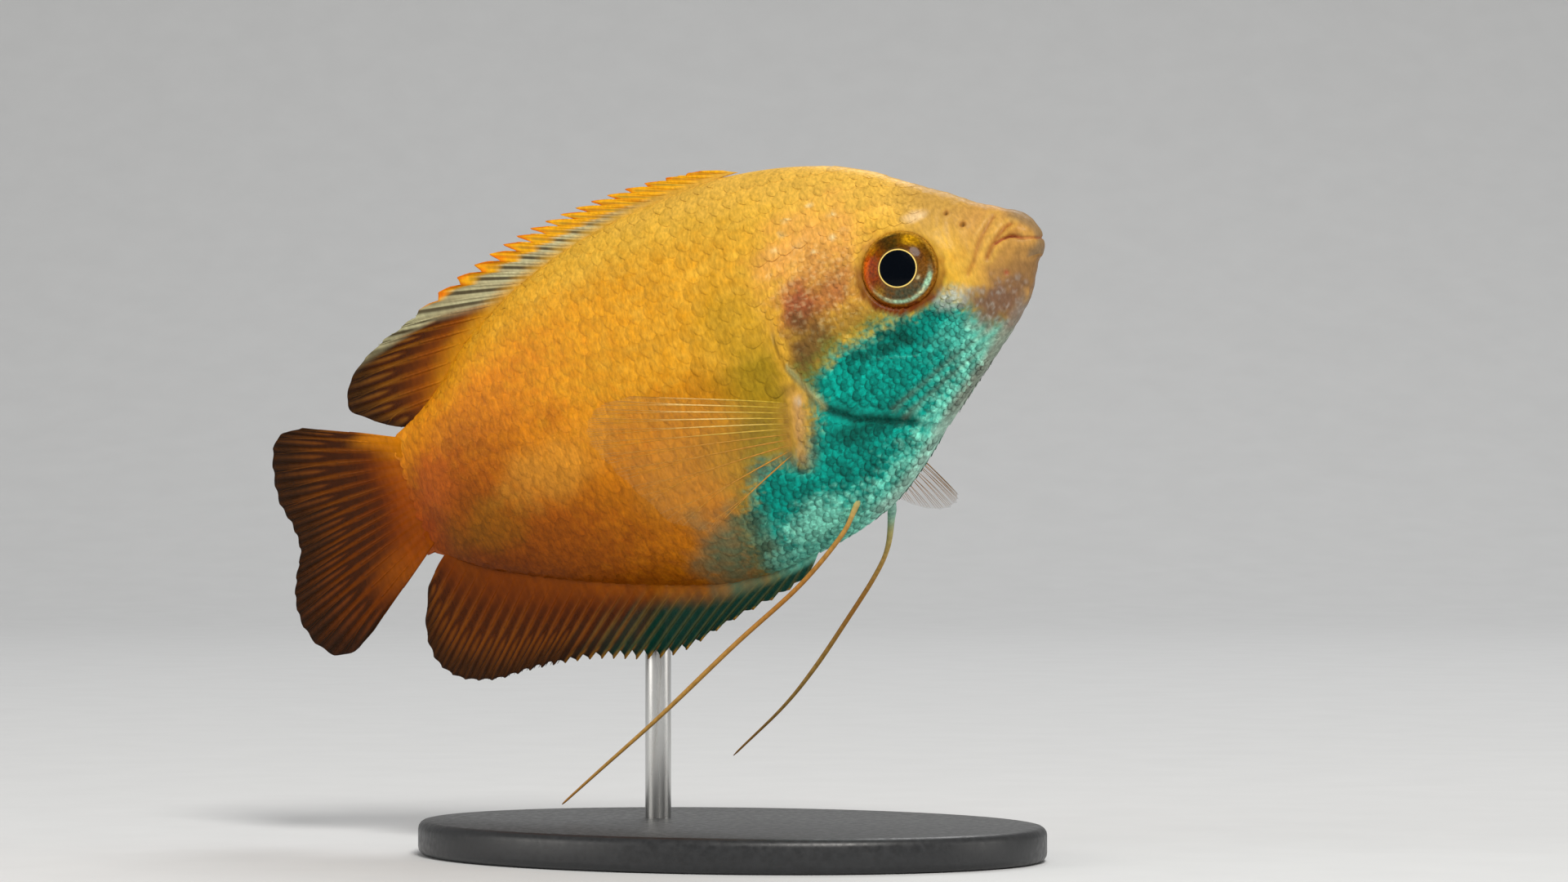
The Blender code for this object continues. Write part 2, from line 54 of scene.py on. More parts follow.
# The body, as (distance behind the snout, size) pairs
body = {
    "length": 42.3,
    "ridge": [
        (0.0, 0.1), (0.3, 1.45), (1.1, 2.4), (2.1, 3.15), (3.0, 3.7), (4.3, 4.75), (6.0, 5.95), (8.4, 7.7),
        (11.0, 8.95), (14.0, 9.9), (17.0, 10.45), (21.0, 10.55), (25.0, 10.35), (29.0, 9.7), (33.0, 8.5),
        (36.0, 7.15), (38.0, 5.8), (39.5, 5.0), (42.3, 4.0),
    ],
    "keel": [
        (0.0, 0.1), (0.3, -0.7), (0.7, -1.02), (1.1, -1.68), (1.6, -2.5), (2.6, -3.42), (3.8, -4.35),
        (5.9, -5.75), (8.6, -7.6), (11.0, -9.4), (13.0, -10.6), (15.5, -11.4), (18.5, -11.85), (21.5, -12.0),
        (24.5, -11.6), (28.0, -10.45), (32.0, -8.9), (36.0, -7.1), (39.5, -5.3), (42.3, -3.4),
    ],
    "halfWidth": [
        (0.0, 0.0), (0.3, 0.8), (1.0, 1.2), (2.0, 1.5), (4.0, 2.1), (6.0, 2.65), (8.0, 3.05), (10.5, 3.4),
        (13.0, 3.6), (16.0, 3.7), (19.0, 3.65), (23.0, 3.4), (27.0, 2.9), (31.0, 2.35), (35.0, 1.8),
        (38.0, 1.35), (40.3, 0.85), (41.5, 0.4), (42.3, 0.13),
    ],
    "widest": [
        (0.0, 0.1), (2.0, 0.3), (5.0, 0.6), (8.0, 0.5), (12.0, -0.3), (16.0, -1.3), (22.0, -1.8),
        (28.0, -0.9), (35.0, 0.0), (42.3, 0.3),
    ],
    "ridgeTaper": [(0.0, 0.9), (6.0, 0.95), (14.0, 1.1), (25.0, 1.3), (42.3, 1.2)],
    "keelTaper": [(0.0, 0.9), (8.0, 1.05), (16.0, 1.1), (22.0, 1.35), (35.0, 1.35), (42.3, 1.2)],
}

# Lines of the head and shoulder in the side view, as (back, up) pairs
gillOpening = [
    (12.9, 11.5), (13.1, 7.2), (14.3, 3.75), (15.2, 2.1), (15.6, 0.7), (15.75, -0.5), (15.5, -1.8),
    (14.95, -3.1), (14.3, -4.5), (12.8, -5.75), (10.1, -6.9), (8.2, -8.0), (7.6, -9.5),
]
mouthLine = [(-0.4, 0.2), (0.4, 0.42), (0.8, 0.56), (1.1, 0.78), (1.4, 0.88), (1.8, 0.87), (2.2, 0.75)]
lipFold = [(1.2, 1.52), (1.5, 1.46), (2.1, 0.99), (2.5, 0.62), (2.9, 0.15)]
jawFold = [(1.96, 2.33), (3.04, 1.15), (3.68, 0.16), (4.15, -0.37)]
throatLines = [
    [(3.1, -3.2), (6.6, -4.4), (10.7, -6.0)],
    [(3.9, -4.0), (7.0, -5.2), (10.4, -6.6)],
]
cheekRidge = [(9.6, 3.6), (11.3, 1.4), (11.7, -0.9), (10.6, -2.9), (8.2, -3.6), (6.2, -3.0)]
pectoralRoot = [(15.7, -3.7), (16.8, -6.7)]
eyePlace = {"back": 7.6, "up": 1.18}
nostrils = [(4.31, 3.4, 0.08), (3.6, 2.44, 0.1)]
jawDent = (2.2, -1.0)


def smooth(table, place, rooted=False):
    places, sizes = np.array(table, float).T
    if rooted:
        places = np.sqrt(places)
    slopes = np.gradient(sizes, places)
    place = np.clip(place, places[0], places[-1])
    i = np.clip(np.searchsorted(places, place, side="right") - 1, 0, len(places) - 2)
    span = places[i + 1] - places[i]
    t = (place - places[i]) / span
    ends = sizes[i] * (1 + 2 * t) * (1 - t) ** 2 + sizes[i + 1] * t * t * (3 - 2 * t)
    return ends + span * t * (1 - t) * (slopes[i] * (1 - t) - slopes[i + 1] * t)


def alongBody(name, back):
    return smooth(body[name], np.sqrt(np.maximum(back, 0)), rooted=True)


def posed(place):
    back, side, up = np.moveaxis(np.asarray(place, float), -1, 0)
    radius = stance["bendRadius"]
    past = np.maximum(back - stance["bendStart"], 0) / radius
    ahead = stance["station"] - np.minimum(back, stance["bendStart"]) - (radius - side) * np.sin(past)
    across = radius - (radius - side) * np.cos(past)
    c, s = math.cos(stance["noseUp"]), math.sin(stance["noseUp"])
    return np.stack([ahead * c - up * s, across, stance["height"] + ahead * s + up * c], -1) * mm


def section(back, turn):
    level = alongBody("widest", back)
    upper = np.sin(turn) > 0
    end = np.where(upper, alongBody("ridge", back), alongBody("keel", back))
    taper = np.where(upper, alongBody("ridgeTaper", back), alongBody("keelTaper", back))
    side = np.sign(np.cos(turn)) * alongBody("halfWidth", back) * np.abs(np.cos(turn)) ** taper
    return np.stack([back + 0 * turn, side, level + (end - level) * np.abs(np.sin(turn))], -1)


def ease(x):
    x = np.clip(x, 0, 1)
    return x * x * (3 - 2 * x)


def bump(distance, width):
    return np.exp(-((distance / width) ** 2))


def distanceTo(line, back, up):
    best = np.full(np.shape(back), np.inf)
    for (b0, u0), (b1, u1) in zip(line, line[1:]):
        db, du = b1 - b0, u1 - u0
        t = np.clip(((back - b0) * db + (up - u0) * du) / (db * db + du * du), 0, 1)
        best = np.minimum(best, np.hypot(back - b0 - t * db, up - u0 - t * du))
    return best


def inside(outline, back, up):
    within = np.zeros(np.shape(back), bool)
    for (b0, u0), (b1, u1) in zip(outline, outline[1:] + outline[:1]):
        crosses = (u0 > up) != (u1 > up)
        within ^= crosses & (back < b0 + (up - u0) * (b1 - b0) / (u1 - u0 if u1 != u0 else 1))
    return within


def depthIn(outline, back, up):
    # how far inside an outline, below nought outside it
    away = distanceTo(outline + outline[:1], back, up)
    return np.where(inside(outline, back, up), away, -away)


headOutline = gillOpening + [(7.6, -30.0), (-30.0, -30.0), (-30.0, 30.0), (12.9, 30.0)]


def eyeDistance(back, up):
    return np.hypot(back - eyePlace["back"], up - eyePlace["up"])


# The body's surface by two measures: back, and around, the way over the flank from its widest line
surface = {"stations": 421, "columns": 121, "turns": 181}


def surveyBody():
    stations = body["length"] * np.linspace(0, 1, surface["stations"]) ** 2
    turns = np.linspace(0, math.pi / 2, surface["turns"])
    shares = np.linspace(0, 1, surface["columns"])
    halves = []
    for sign in (-1, 1):
        place = section(stations[:, None], sign * turns[None, :])
        steps = np.linalg.norm(np.diff(place, axis=1), axis=2)
        way = np.concatenate([np.zeros((len(stations), 1)), np.cumsum(steps, axis=1)], axis=1)
        even = [
            [np.interp(shares * w[-1], w, p[:, i]) for i in (1, 2)] for w, p in zip(way, place)
        ]
        halves.append((way[:, -1], np.array(even)))
    surface["reach"] = np.stack([halves[0][0], halves[1][0]], 1)
    surface["place"] = np.concatenate([halves[0][1][:, :, :0:-1], halves[1][1]], axis=2)


def reachOf(back, upper):
    # the way from the widest line to the ridge, or to the keel
    at = np.sqrt(np.clip(back, 0, body["length"]) / body["length"]) * (surface["stations"] - 1)
    table = surface["reach"]
    i = np.minimum(at.astype(int), surface["stations"] - 2)
    low, high = table[i], table[i + 1]
    mixed = low + (high - low) * (at - i)[..., None]
    return np.where(upper, mixed[..., 1], mixed[..., 0])


def onBody(back, around, hand):
    share = around / np.maximum(reachOf(back, around > 0), 1e-6)
    over = np.abs(share) > 1
    share = np.where(over, np.sign(share) * (2 - np.abs(share)), share)
    row = np.sqrt(np.clip(back, 0, body["length"]) / body["length"]) * (surface["stations"] - 1)
    column = (share + 1) * (surface["columns"] - 1)
    i = np.minimum(row.astype(int), surface["stations"] - 2)
    j = np.clip(column.astype(int), 0, 2 * surface["columns"] - 3)
    u, v = row - i, column - j
    table = surface["place"]
    side, up = (
        (table[i, k, j] * (1 - u) + table[i + 1, k, j] * u) * (1 - v)
        + (table[i, k, j + 1] * (1 - u) + table[i + 1, k, j + 1] * u) * v
        for k in (0, 1)
    )
    return np.stack([back, np.where(over, -hand, hand) * side, up], -1)


def onBodyNormal(back, around, hand):
    step = 0.12
    along = onBody(back + step, around, hand) - onBody(back - step, around, hand)
    across = onBody(back, around + step, hand) - onBody(back, around - step, hand)
    normal = np.cross(across, along) * np.asarray(hand)[..., None]
    return normal / np.maximum(np.linalg.norm(normal, axis=-1, keepdims=True), 1e-9)


surveyBody()


# How the skin stands out of the plain body or sinks into it, in millimetres
relief = {
    "gillCover": 0.26, "gillFade": 2.6, "gillGroove": 0.06, "lip": 0.12, "mouthDepth": 0.26,
    "mouthWidth": 0.08, "fold": 0.11, "eyeRim": 0.15, "eyeOpening": 2.08, "eyeSink": 0.6, "nostril": 0.25,
    "throatLine": 0.06, "finRoot": 0.08, "dent": 0.1, "upperLip": 0.2, "crease": 0.045, "cheekRidge": 0.07,
    "cheekGroove": 0.06, "nostrilRim": 0.07,
}


def creases(back, side, up):
    # fine upright creases and bumps of the bare skin on the snout
    place = np.stack(np.broadcast_arrays(back / 0.32, side / 0.5, up / 0.9), -1).reshape(-1, 3)
    shown = (place[:, 0] > 0) & (place[:, 0] < 30)
    depth = np.zeros(len(place))
    depth[shown] = [noise.noise(Vector(p)) for p in place[shown]]
    return depth.reshape(np.shape(back))


def skinRelief(back, side, up):
    onHead = inside(headOutline, back, up)
    fromGill = distanceTo(gillOpening[2:11], back, up)
    free = ease((1.8 - up) / 2.6)
    height = relief["gillCover"] * np.exp(-fromGill / relief["gillFade"]) * onHead * free
    height -= relief["gillGroove"] * bump(fromGill - 0.12, 0.14) * ~onHead * free

    fromMouth = distanceTo(mouthLine, back, up)
    closing = (0.4 + 0.6 * ease((back - 0.5) / 0.8)) * (1 - 0.4 * ease((back - 1.6) / 0.6))
    aboveMouth = ease((up + 0.5) / 1.6) * ease((1.7 - back) / 1.2)
    height += relief["upperLip"] * aboveMouth
    height += relief["lip"] * bump(fromMouth - 0.36, 0.3) * closing
    height -= relief["mouthDepth"] * bump(fromMouth, relief["mouthWidth"]) * closing
    for line, share, width in ((lipFold, 1.0, 0.12), (jawFold, 0.7, 0.16)):
        away = distanceTo(line, back, up)
        height += relief["fold"] * share * (0.4 * bump(away - 0.35, 0.25) - bump(away, width))

    for line in throatLines:
        height -= relief["throatLine"] * bump(distanceTo(line, back, up), 0.1)
    fromCheek = distanceTo(cheekRidge, back, up)
    groove = relief["cheekGroove"] * bump(fromCheek, 0.12)
    height += relief["cheekRidge"] * bump(fromCheek - 0.3, 0.4) - groove
    for nostrilBack, nostrilUp, radius in nostrils:
        away = np.hypot(back - nostrilBack, up - nostrilUp)
        height -= relief["nostril"] * bump(away, radius)
        height += relief["nostrilRim"] * bump(away - 2 * radius, 0.6 * radius)

    height -= relief["dent"] * bump(np.hypot(back - jawDent[0], up - jawDent[1]), 0.16)
    fromRoot = distanceTo(pectoralRoot, back, up)
    height += relief["finRoot"] * bump(fromRoot, 0.65)
    spread = np.minimum(1, 3 * np.abs(side) / np.maximum(alongBody("halfWidth", back), 0.05))
    height *= np.where(back < 3, 1, spread)
    near = ease((9.5 - back) / 4) * ease((eyeDistance(back, up) - 2.4) / 0.6)
    height += near * relief["crease"] * creases(back, side, up)

    away = eyeDistance(back, up)
    rim = relief["eyeRim"] * ease((3.4 - away) / 1.2)
    opening = ease((relief["eyeOpening"] - away) / 0.22 + 0.5)
    return (height + rim) * (1 - opening) - relief["eyeSink"] * opening


# Colours, as a colour picker shows them
tones = {
    "cream": (224, 176, 72),
    "gold": (222, 172, 58),
    "amber": (210, 144, 20),
    "orange": (206, 124, 10),
    "rust": (156, 80, 5),
    "ember": (112, 50, 1),
    "olive": (150, 128, 20),
    "pale": (222, 160, 56),
    "rose": (190, 92, 24),
    "flame": (156, 62, 2),
    "forehead": (180, 138, 66),
    "snout": (188, 138, 70),
    # the next tone is painted shade for the lower jaw
    "jaw": (138, 102, 62),
    "fold": (160, 98, 40),
    "lip": (118, 102, 80),
    # the next tone is a painted highlight above the eye
    "browHighlight": (252, 222, 178),
    "pearl": (190, 190, 178),
    "moss": (110, 140, 50),
    "mauve": (160, 76, 52),
    "peach": (230, 162, 86),
    "clay": (178, 116, 60),
    "umber": (102, 72, 40),
    "teal": (2, 150, 134),
    "deepTeal": (2, 78, 66),
    "mint": (138, 230, 204),
    "lilac": (116, 86, 68),
    "dusk": (92, 110, 82),
    "mouth": (60, 30, 18),
    "eyeRim": (106, 48, 7),
    "pinkRoot": (186, 142, 92),
    "opercleLine": (190, 190, 130),
    "glint": (252, 236, 176),
    "finRust": (104, 44, 2),
    "finDark": (34, 17, 3),
    "finTan": (136, 86, 20),
    "finTip": (29, 18, 7),
    "finAsh": (196, 192, 150),
    "finShade": (56, 42, 22),
    "finGreen": (6, 52, 42),
    "finMoss": (104, 120, 54),
    "flap": (240, 172, 26),
    "flapTip": (220, 104, 6),
    "film": (170, 134, 88),
    "filmRay": (250, 216, 140),
    "filmRoot": (196, 162, 50),
    "filmLow": (190, 134, 54),
    "feeler": (176, 126, 56),
    "feelerRoot": (176, 164, 104),
    "irisRust": (136, 46, 0),
    "irisOlive": (52, 42, 9),
    "irisBronze": (116, 68, 4),
    "irisSilver": (158, 204, 170),
    "irisSmoke": (70, 72, 54),
    "irisGold": (200, 148, 14),
    "irisFire": (214, 92, 6),
}
tealOutline = [
    (1.9, -3.6), (3.2, -4.0), (4.4, -2.4), (5.3, -1.45), (6.4, -1.15), (8.0, -1.3), (10.5, -1.6),
    (12.6, -1.9), (13.9, -2.6), (14.6, -3.6), (15.1, -4.7), (15.7, -6.0), (16.7, -7.0), (18.0, -6.3),
    (19.2, -6.3), (20.5, -7.8), (21.5, -9.8), (22.0, -13.5), (11.0, -13.5), (5.0, -8.0),
]


# Soft patches of colour, among them a painted highlight above the eye and painted shade on the lower jaw:
# tone, strength, and place and half size in the side view, before the breast's teal is laid on
blotches = [
    ("peach", 0.65, (12.2, 4.0), (3.8, 2.9)),
    ("clay", 0.6, (12.4, 1.5), (3.2, 2.0)),
    ("clay", 0.5, (10.9, 1.8), (1.5, 1.8)),
    ("mauve", 0.85, (13.8, 1.1), (1.3, 1.5)),
    ("mauve", 0.35, (12.2, 1.3), (1.4, 1.0)),
    ("umber", 0.9, (13.7, -1.0), (1.6, 2.4)),
    ("umber", 0.55, (11.2, -0.7), (2.4, 1.1)),
    ("umber", 0.85, (14.3, -2.5), (1.0, 1.9)),
    ("umber", 0.6, (16.0, -2.9), (0.8, 0.5)),
    ("moss", 0.5, (18.4, -4.9), (1.4, 1.4)),
    # painted shade: the lower jaw darker, as it lies in shadow
    ("jaw", 0.9, (1.3, -1.3), (1.9, 1.7)),
    ("umber", 0.25, (17.2, -1.6), (1.6, 2.0)),
    ("olive", 0.35, (18.0, 1.0), (2.4, 3.4)),
    ("olive", 0.75, (17.7, -3.0), (2.4, 3.4)),
    ("olive", 0.5, (20.2, -5.6), (2.2, 2.4)),
    ("rust", 0.3, (23.0, -2.0), (5.0, 2.6)),
    ("pale", 0.4, (31.4, -1.9), (4.4, 2.0)),
    ("rust", 0.25, (36.0, 1.6), (3.0, 2.0)),
    ("olive", 0.16, (37.4, -3.2), (3.4, 1.8)),
    ("pale", 0.3, (23.0, -5.4), (4.0, 3.0)),
    ("rose", 0.5, (40.2, 0.4), (2.0, 2.0)),
    ("flame", 0.6, (43.4, -1.4), (2.6, 3.2)),
    ("rust", 0.35, (30.4, 1.0), (1.0, 0.7)),
    # painted highlight: a pale patch above the eye
    ("browHighlight", 0.5, (5.9, 3.75), (0.75, 0.36)),
]
# painted highlights: small pale glints behind the eye, as (back, up, radius)
paintedGlints = [
    (14.25, 4.8, 0.16), (13.5, 5.6, 0.13), (12.85, 4.65, 0.11), (13.1, 6.2, 0.12), (10.4, 5.6, 0.12),
    (10.7, 4.3, 0.15), (12.0, 3.9, 0.1), (11.6, 6.6, 0.1), (14.9, 3.6, 0.1),
]
# painted lines: tone, strength, width and place
paintedLines = [
    ("deepTeal", 0.95, 0.34, gillOpening[8:11]),
    ("opercleLine", 0.85, 0.17, gillOpening[6:9]),
    ("lilac", 0.35, 0.16, throatLines[0]),
    ("lilac", 0.35, 0.16, throatLines[1]),
]


def linear(tone):
    value = np.array(tones[tone] if isinstance(tone, str) else tone, float) / 255
    return np.where(value <= 0.04045, value / 12.92, ((value + 0.055) / 1.055) ** 2.4)


def grain(place, size, seed):
    # smooth noise from -1 to 1, with lumps of that size in millimetres
    scaled = place / size + seed * 17.3
    return np.array([noise.noise(Vector(p)) for p in scaled])


def over(base, tone, share):
    return base + (linear(tone) - base) * np.clip(share, 0, 1)[:, None]


def blob(back, up, centre, size, wobble):
    # one inside a soft oval, nought outside it
    away = np.hypot((back - centre[0]) / size[0], (up - centre[1]) / size[1])
    return ease(1.3 - away + wobble)


def groundTone(back, up, noises):
    # gold above, warmer and darker towards the belly and the tail, with the soft patches and a speckled
    # cheek; the darkening towards the belly is partly painted shade
    _, fine, speckle, wobble = noises
    # low: darker towards the belly, partly the fish's own orange and partly painted shade
    low = ease((alongBody("widest", back) + 3.5 - up) / 10)
    rear = ease((back - 26) / 17)
    warmth = 0.2 + 0.3 * ease((back - 8) / 24) + 0.34 * low * ease((back - 15) / 8) + 0.42 * rear
    warmth += 0.06 * wobble
    warmth += 0.1 * fine - 0.28 * ease((up - alongBody("ridge", back) + 4.5) / 4)
    stops = [0.0, 0.18, 0.45, 0.65, 0.92, 1.2]
    names = ["cream", "gold", "amber", "orange", "rust", "ember"]
    colour = np.stack([np.interp(warmth, stops, [linear(n)[i] for n in names]) for i in range(3)], 1)

    colour = over(colour, "forehead", 0.8 * ease((8 - back) / 3) * ease((up - 1.5) / 2))
    colour = over(colour, "snout", 0.85 * ease((5.2 - back + 0.5 * wobble) / 2.5) * ease((4.5 - up) / 2))
    for tone, share, centre, size in blotches:
        colour = over(colour, tone, share * blob(back, up, centre, size, wobble))

    cheek = blob(back, up, (12.2, 1.8), (3.4, 3.6), wobble)
    colour = over(colour, "glint", 0.2 * cheek * ease((speckle - 0.12) / 0.3))
    return over(colour, "umber", 0.3 * cheek * ease((-0.12 - speckle) / 0.3))


def paintBreast(colour, back, up, noises):
    # teal with darker patches, mint along the keel that is partly painted highlight, a painted shadow under
    # the gill cover, a mottled chin and a rear keel darkened partly by painted shade; gives also how teal
    coarse, fine, speckle, wobble = noises
    depth = depthIn(tealOutline, back, up) + 1.1 * wobble + 0.6 * speckle
    teal = ease(0.5 + depth / 1.1)
    chest = 0.3 * ease(0.5 + 3 * (coarse + 0.6 * fine))
    colour = over(colour, "moss", 0.5 * bump(depth + 0.1, 0.7))
    colour = over(colour, "teal", teal)
    colour = over(colour, "deepTeal", teal * (chest + 0.6 * blob(back, up, (9.0, -2.2), (3.0, 1.0), wobble)))
    # painted shadow: a darker teal patch under the gill cover's lower edge
    colour = over(colour, "deepTeal", 0.7 * blob(back, up, (12.6, -6.5), (2.6, 0.8), 0.6 * wobble) * teal)
    keelEdge = up - alongBody("keel", back)
    # mint along the keel: partly the breast's own colour, partly painted highlights; the shine patch is a
    # painted highlight
    mint = ease((2.2 - keelEdge) / 2.2 + 0.5 * fine + 0.6 * speckle) * teal
    colour = over(colour, "mint", 0.72 * mint)
    shine = blob(back, up, (17.4, -10.4), (3.0, 1.2), wobble + 0.6 * speckle)
    colour = over(colour, "mint", 0.85 * shine * teal)
    colour = over(colour, "mint", 0.3 * blob(back, up, (5.2, -3.6), (2.4, 1.5), wobble) * teal)
    spotted = 0.5 + 0.5 * ease(0.5 + 2.5 * speckle)
    colour = over(colour, "pearl", spotted * 0.75 * blob(back, up, (5.3, -1.35), (1.2, 0.7), wobble))
    chin = blob(back, up, (3.2, -2.4), (2.1, 1.5), wobble)
    colour = over(colour, "lilac", 0.95 * chin)
    colour = over(colour, "pearl", 0.34 * ease(0.9 * fine + 1.2 * speckle) * chin)
    under = ease((0.7 - keelEdge) / 0.5) * ease((back - 1.4) / 1.5) * ease((15.5 - back) / 2)
    colour = over(colour, "pearl", 0.45 * under)
    colour = over(colour, "lilac", 0.6 * under * ease((10 - back) / 3))
    # the rear keel darker: partly the fish's own colour, partly painted shade where the body turns under
    hindKeel = ease((2.4 - keelEdge + 0.5 * fine) / 2.4) * ease((back - 22.5) / 4)
    colour = over(colour, "ember", 0.45 * hindKeel)
    dusk = (0.85 + 0.3 * speckle) * blob(back, up, (22.6, -10.3), (3.1, 2.7), wobble)
    return over(colour, "dusk", dusk), teal


def paintDetails(colour, back, up, noises):
    # lines of the gill cover and the throat, the pectoral fin's root, the face's folds and the eye's rim
    _, fine, speckle, wobble = noises
    for tone, share, width, line in paintedLines:
        colour = over(colour, tone, share * bump(distanceTo(line, back, up), width))
    fromRoot = distanceTo(pectoralRoot, back + 0.15, up)
    colour = over(colour, "umber", 0.35 * bump(fromRoot - 0.7, 0.3) * (1 + fine))
    colour = over(colour, "pinkRoot", 0.75 * bump(fromRoot + 0.2 * fine, 0.42) * (1 + 0.4 * speckle))
    # painted highlight: a small pale spot at the top of the pectoral fin's root
    colour = over(colour, "pearl", 0.8 * bump(np.hypot(back - 15.6, up + 3.7), 0.18) * (1 + speckle))
    # painted shade under the upper lip
    colour = over(colour, "fold", 0.5 * blob(back, up, (1.35, 1.25), (0.6, 0.45), wobble))
    for line, share in ((lipFold, 0.7), (jawFold, 0.5)):
        fromFold = distanceTo(line, back, up)
        # along each fold: a painted highlight on its ridge and painted shade in the crease
        colour = over(colour, "cream", 0.5 * share * bump(fromFold - 0.3, 0.16))
        colour = over(colour, "fold", share * bump(fromFold, 0.11))
    edge = np.minimum(alongBody("ridge", back) - up, up - alongBody("keel", back))
    colour = over(colour, "lip", 0.7 * ease((1.7 - back) / 0.9) * ease((0.95 - edge) / 0.6) * (up > -0.6))
    line = bump(distanceTo(mouthLine, back, up), 0.08) * (0.5 + 0.5 * ease((back - 0.6) / 0.6))
    colour = over(colour, "mauve", 0.9 * line)
    for nostrilBack, nostrilUp, radius in nostrils:
        away = np.hypot(back - nostrilBack, up - nostrilUp)
        # painted shade: a darker ring inside each nostril's rim and a dark nostril hole
        colour = over(colour, "fold", 0.5 * bump(away - 1.5 * radius, 0.07))
        colour = over(colour, "mouth", bump(away, 0.8 * radius))
    colour = over(colour, "mauve", 0.8 * bump(np.hypot(back - jawDent[0], up - jawDent[1]), 0.14))
    # painted highlights: the small glints behind the eye
    for glintBack, glintUp, radius in paintedGlints:
        colour = over(colour, "glint", 0.75 * bump(np.hypot(back - glintBack, up - glintUp), radius))
    turn = np.arctan2(up - eyePlace["up"], eyePlace["back"] - back)
    strength = 0.55 - 0.5 * np.sin(turn + 0.4) + 0.15 * fine
    return over(colour, "eyeRim", strength * ease((2.72 - eyeDistance(back, up) + 0.1 * fine) / 0.3))


def markings(place):
    # the body's colour at each place, painted shade and highlights included, and how teal it is there
    back, _, up = place.T
    coarse, fine, speckle = (grain(place, size, seed) for size, seed in ((1.3, 1), (0.45, 2), (0.2, 8)))
    noises = coarse, fine, speckle, 0.35 * coarse + 0.25 * fine
    colour, teal = paintBreast(groundTone(back, up, noises), back, up, noises)
    return np.maximum(paintDetails(colour, back, up, noises), 0), teal


# Materials
def newMaterial(name, **values):
    material = bpy.data.materials.new(name)
    material.use_nodes = True
    tree = material.node_tree
    shader = tree.nodes["Principled BSDF"]
    for socket, value in values.items():
        shader.inputs[socket.replace("_", " ")].default_value = value
    return material, tree.nodes, tree.links, shader


def ranged(nodes, links, value, low, high, fromLow=0.3, fromHigh=0.7):
    node = nodes.new("ShaderNodeMapRange")
    for socket, number in (("From Min", fromLow), ("From Max", fromHigh), ("To Min", low), ("To Max", high)):
        node.inputs[socket].default_value = number
    links.new(value, node.inputs["Value"])
    return node.outputs["Result"]


def scaledColour(nodes, links, colour, factor):
    node = nodes.new("ShaderNodeVectorMath")
    node.operation = "SCALE"
    links.new(colour, node.inputs[0])
    links.new(factor, node.inputs["Scale"])
    return node.outputs["Vector"]


def attribute(nodes, name, output="Color"):
    node = nodes.new("ShaderNodeAttribute")
    node.attribute_name = name
    return node.outputs[output]


def lumps(nodes, links, size, stretch=(1, 1, 1), kind="TexNoise", tilt=stance["noseUp"]):
    # a texture along the fish's own directions, with lumps of that size in millimetres
    place = nodes.new("ShaderNodeTexCoord")
    mapping = nodes.new("ShaderNodeMapping")
    mapping.vector_type = "TEXTURE"
    mapping.inputs["Rotation"].default_value = (0, -tilt, 0)
    mapping.inputs["Scale"].default_value = [size * mm * s for s in stretch]
    links.new(place.outputs["Object"], mapping.inputs["Vector"])
    texture = nodes.new("ShaderNode" + kind)
    texture.inputs["Scale"].default_value = 1.0
    if kind == "TexNoise":
        texture.inputs["Detail"].default_value = 3.0
    links.new(mapping.outputs["Vector"], texture.inputs["Vector"])
    return texture


def roughened(nodes, links, shader, height, strength, distance):
    bumped = nodes.new("ShaderNodeBump")
    bumped.inputs["Strength"].default_value = strength
    bumped.inputs["Distance"].default_value = distance * mm
    links.new(height, bumped.inputs["Height"])
    links.new(bumped.outputs["Normal"], shader.inputs["Normal"])


finishes = {
    "skin": {"rough": (0.34, 0.5), "gloss": 0.11, "coat": 0.02, "mottle": (0.2, 0.84, 1.16), "depth": 0.03},
    "scales": {"rough": (0.3, 0.46), "gloss": 0.1, "coat": 0.02, "mottle": (0.18, 0.78, 1.2), "depth": 0.03},
    "fin": {"rough": (0.4, 0.55), "gloss": 0.03, "coat": 0.0, "mottle": (0.3, 0.84, 1.14), "depth": 0.012},
    "ray": {"rough": (0.34, 0.48), "gloss": 0.07, "coat": 0.0, "mottle": (0.2, 0.84, 1.14), "depth": 0.01},
}
livingTexture = {
    "mottleStretch": (0.9, 0.9, 2.4), "cell": 0.2, "cellStretch": (1.4, 1.0, 0.8), "cellShade": (0.72, 1.3),
    "grain": 0.16, "grainStrength": 0.7,
}


def livingMaterial(name, recipe, **values):
    # painted colour with fine upright mottling, and dark and bright cells where the breast is teal
    material, nodes, links, shader = newMaterial(
        name, Specular_IOR_Level=recipe["gloss"], Coat_Weight=recipe["coat"], Coat_Roughness=0.12, **values
    )
    size, low, high = recipe["mottle"]
    mottle = lumps(nodes, links, size, livingTexture["mottleStretch"]).outputs["Fac"]
    colour = scaledColour(nodes, links, attribute(nodes, "hue"), ranged(nodes, links, mottle, low, high))
    cellForm = livingTexture["cell"], livingTexture["cellStretch"]
    cells = lumps(nodes, links, *cellForm, "TexVoronoi").outputs["Color"]
    spread = nodes.new("ShaderNodeMix")
    spread.inputs["A"].default_value = 1.0
    links.new(attribute(nodes, "teal", "Fac"), spread.inputs["Factor"])
    links.new(ranged(nodes, links, cells, *livingTexture["cellShade"], 0.1, 0.9), spread.inputs["B"])
    links.new(scaledColour(nodes, links, colour, spread.outputs["Result"]), shader.inputs["Base Color"])
    grainy = lumps(nodes, links, livingTexture["grain"]).outputs["Fac"]
    links.new(ranged(nodes, links, grainy, *recipe["rough"]), shader.inputs["Roughness"])
    roughened(nodes, links, shader, grainy, livingTexture["grainStrength"], recipe["depth"])
    return material


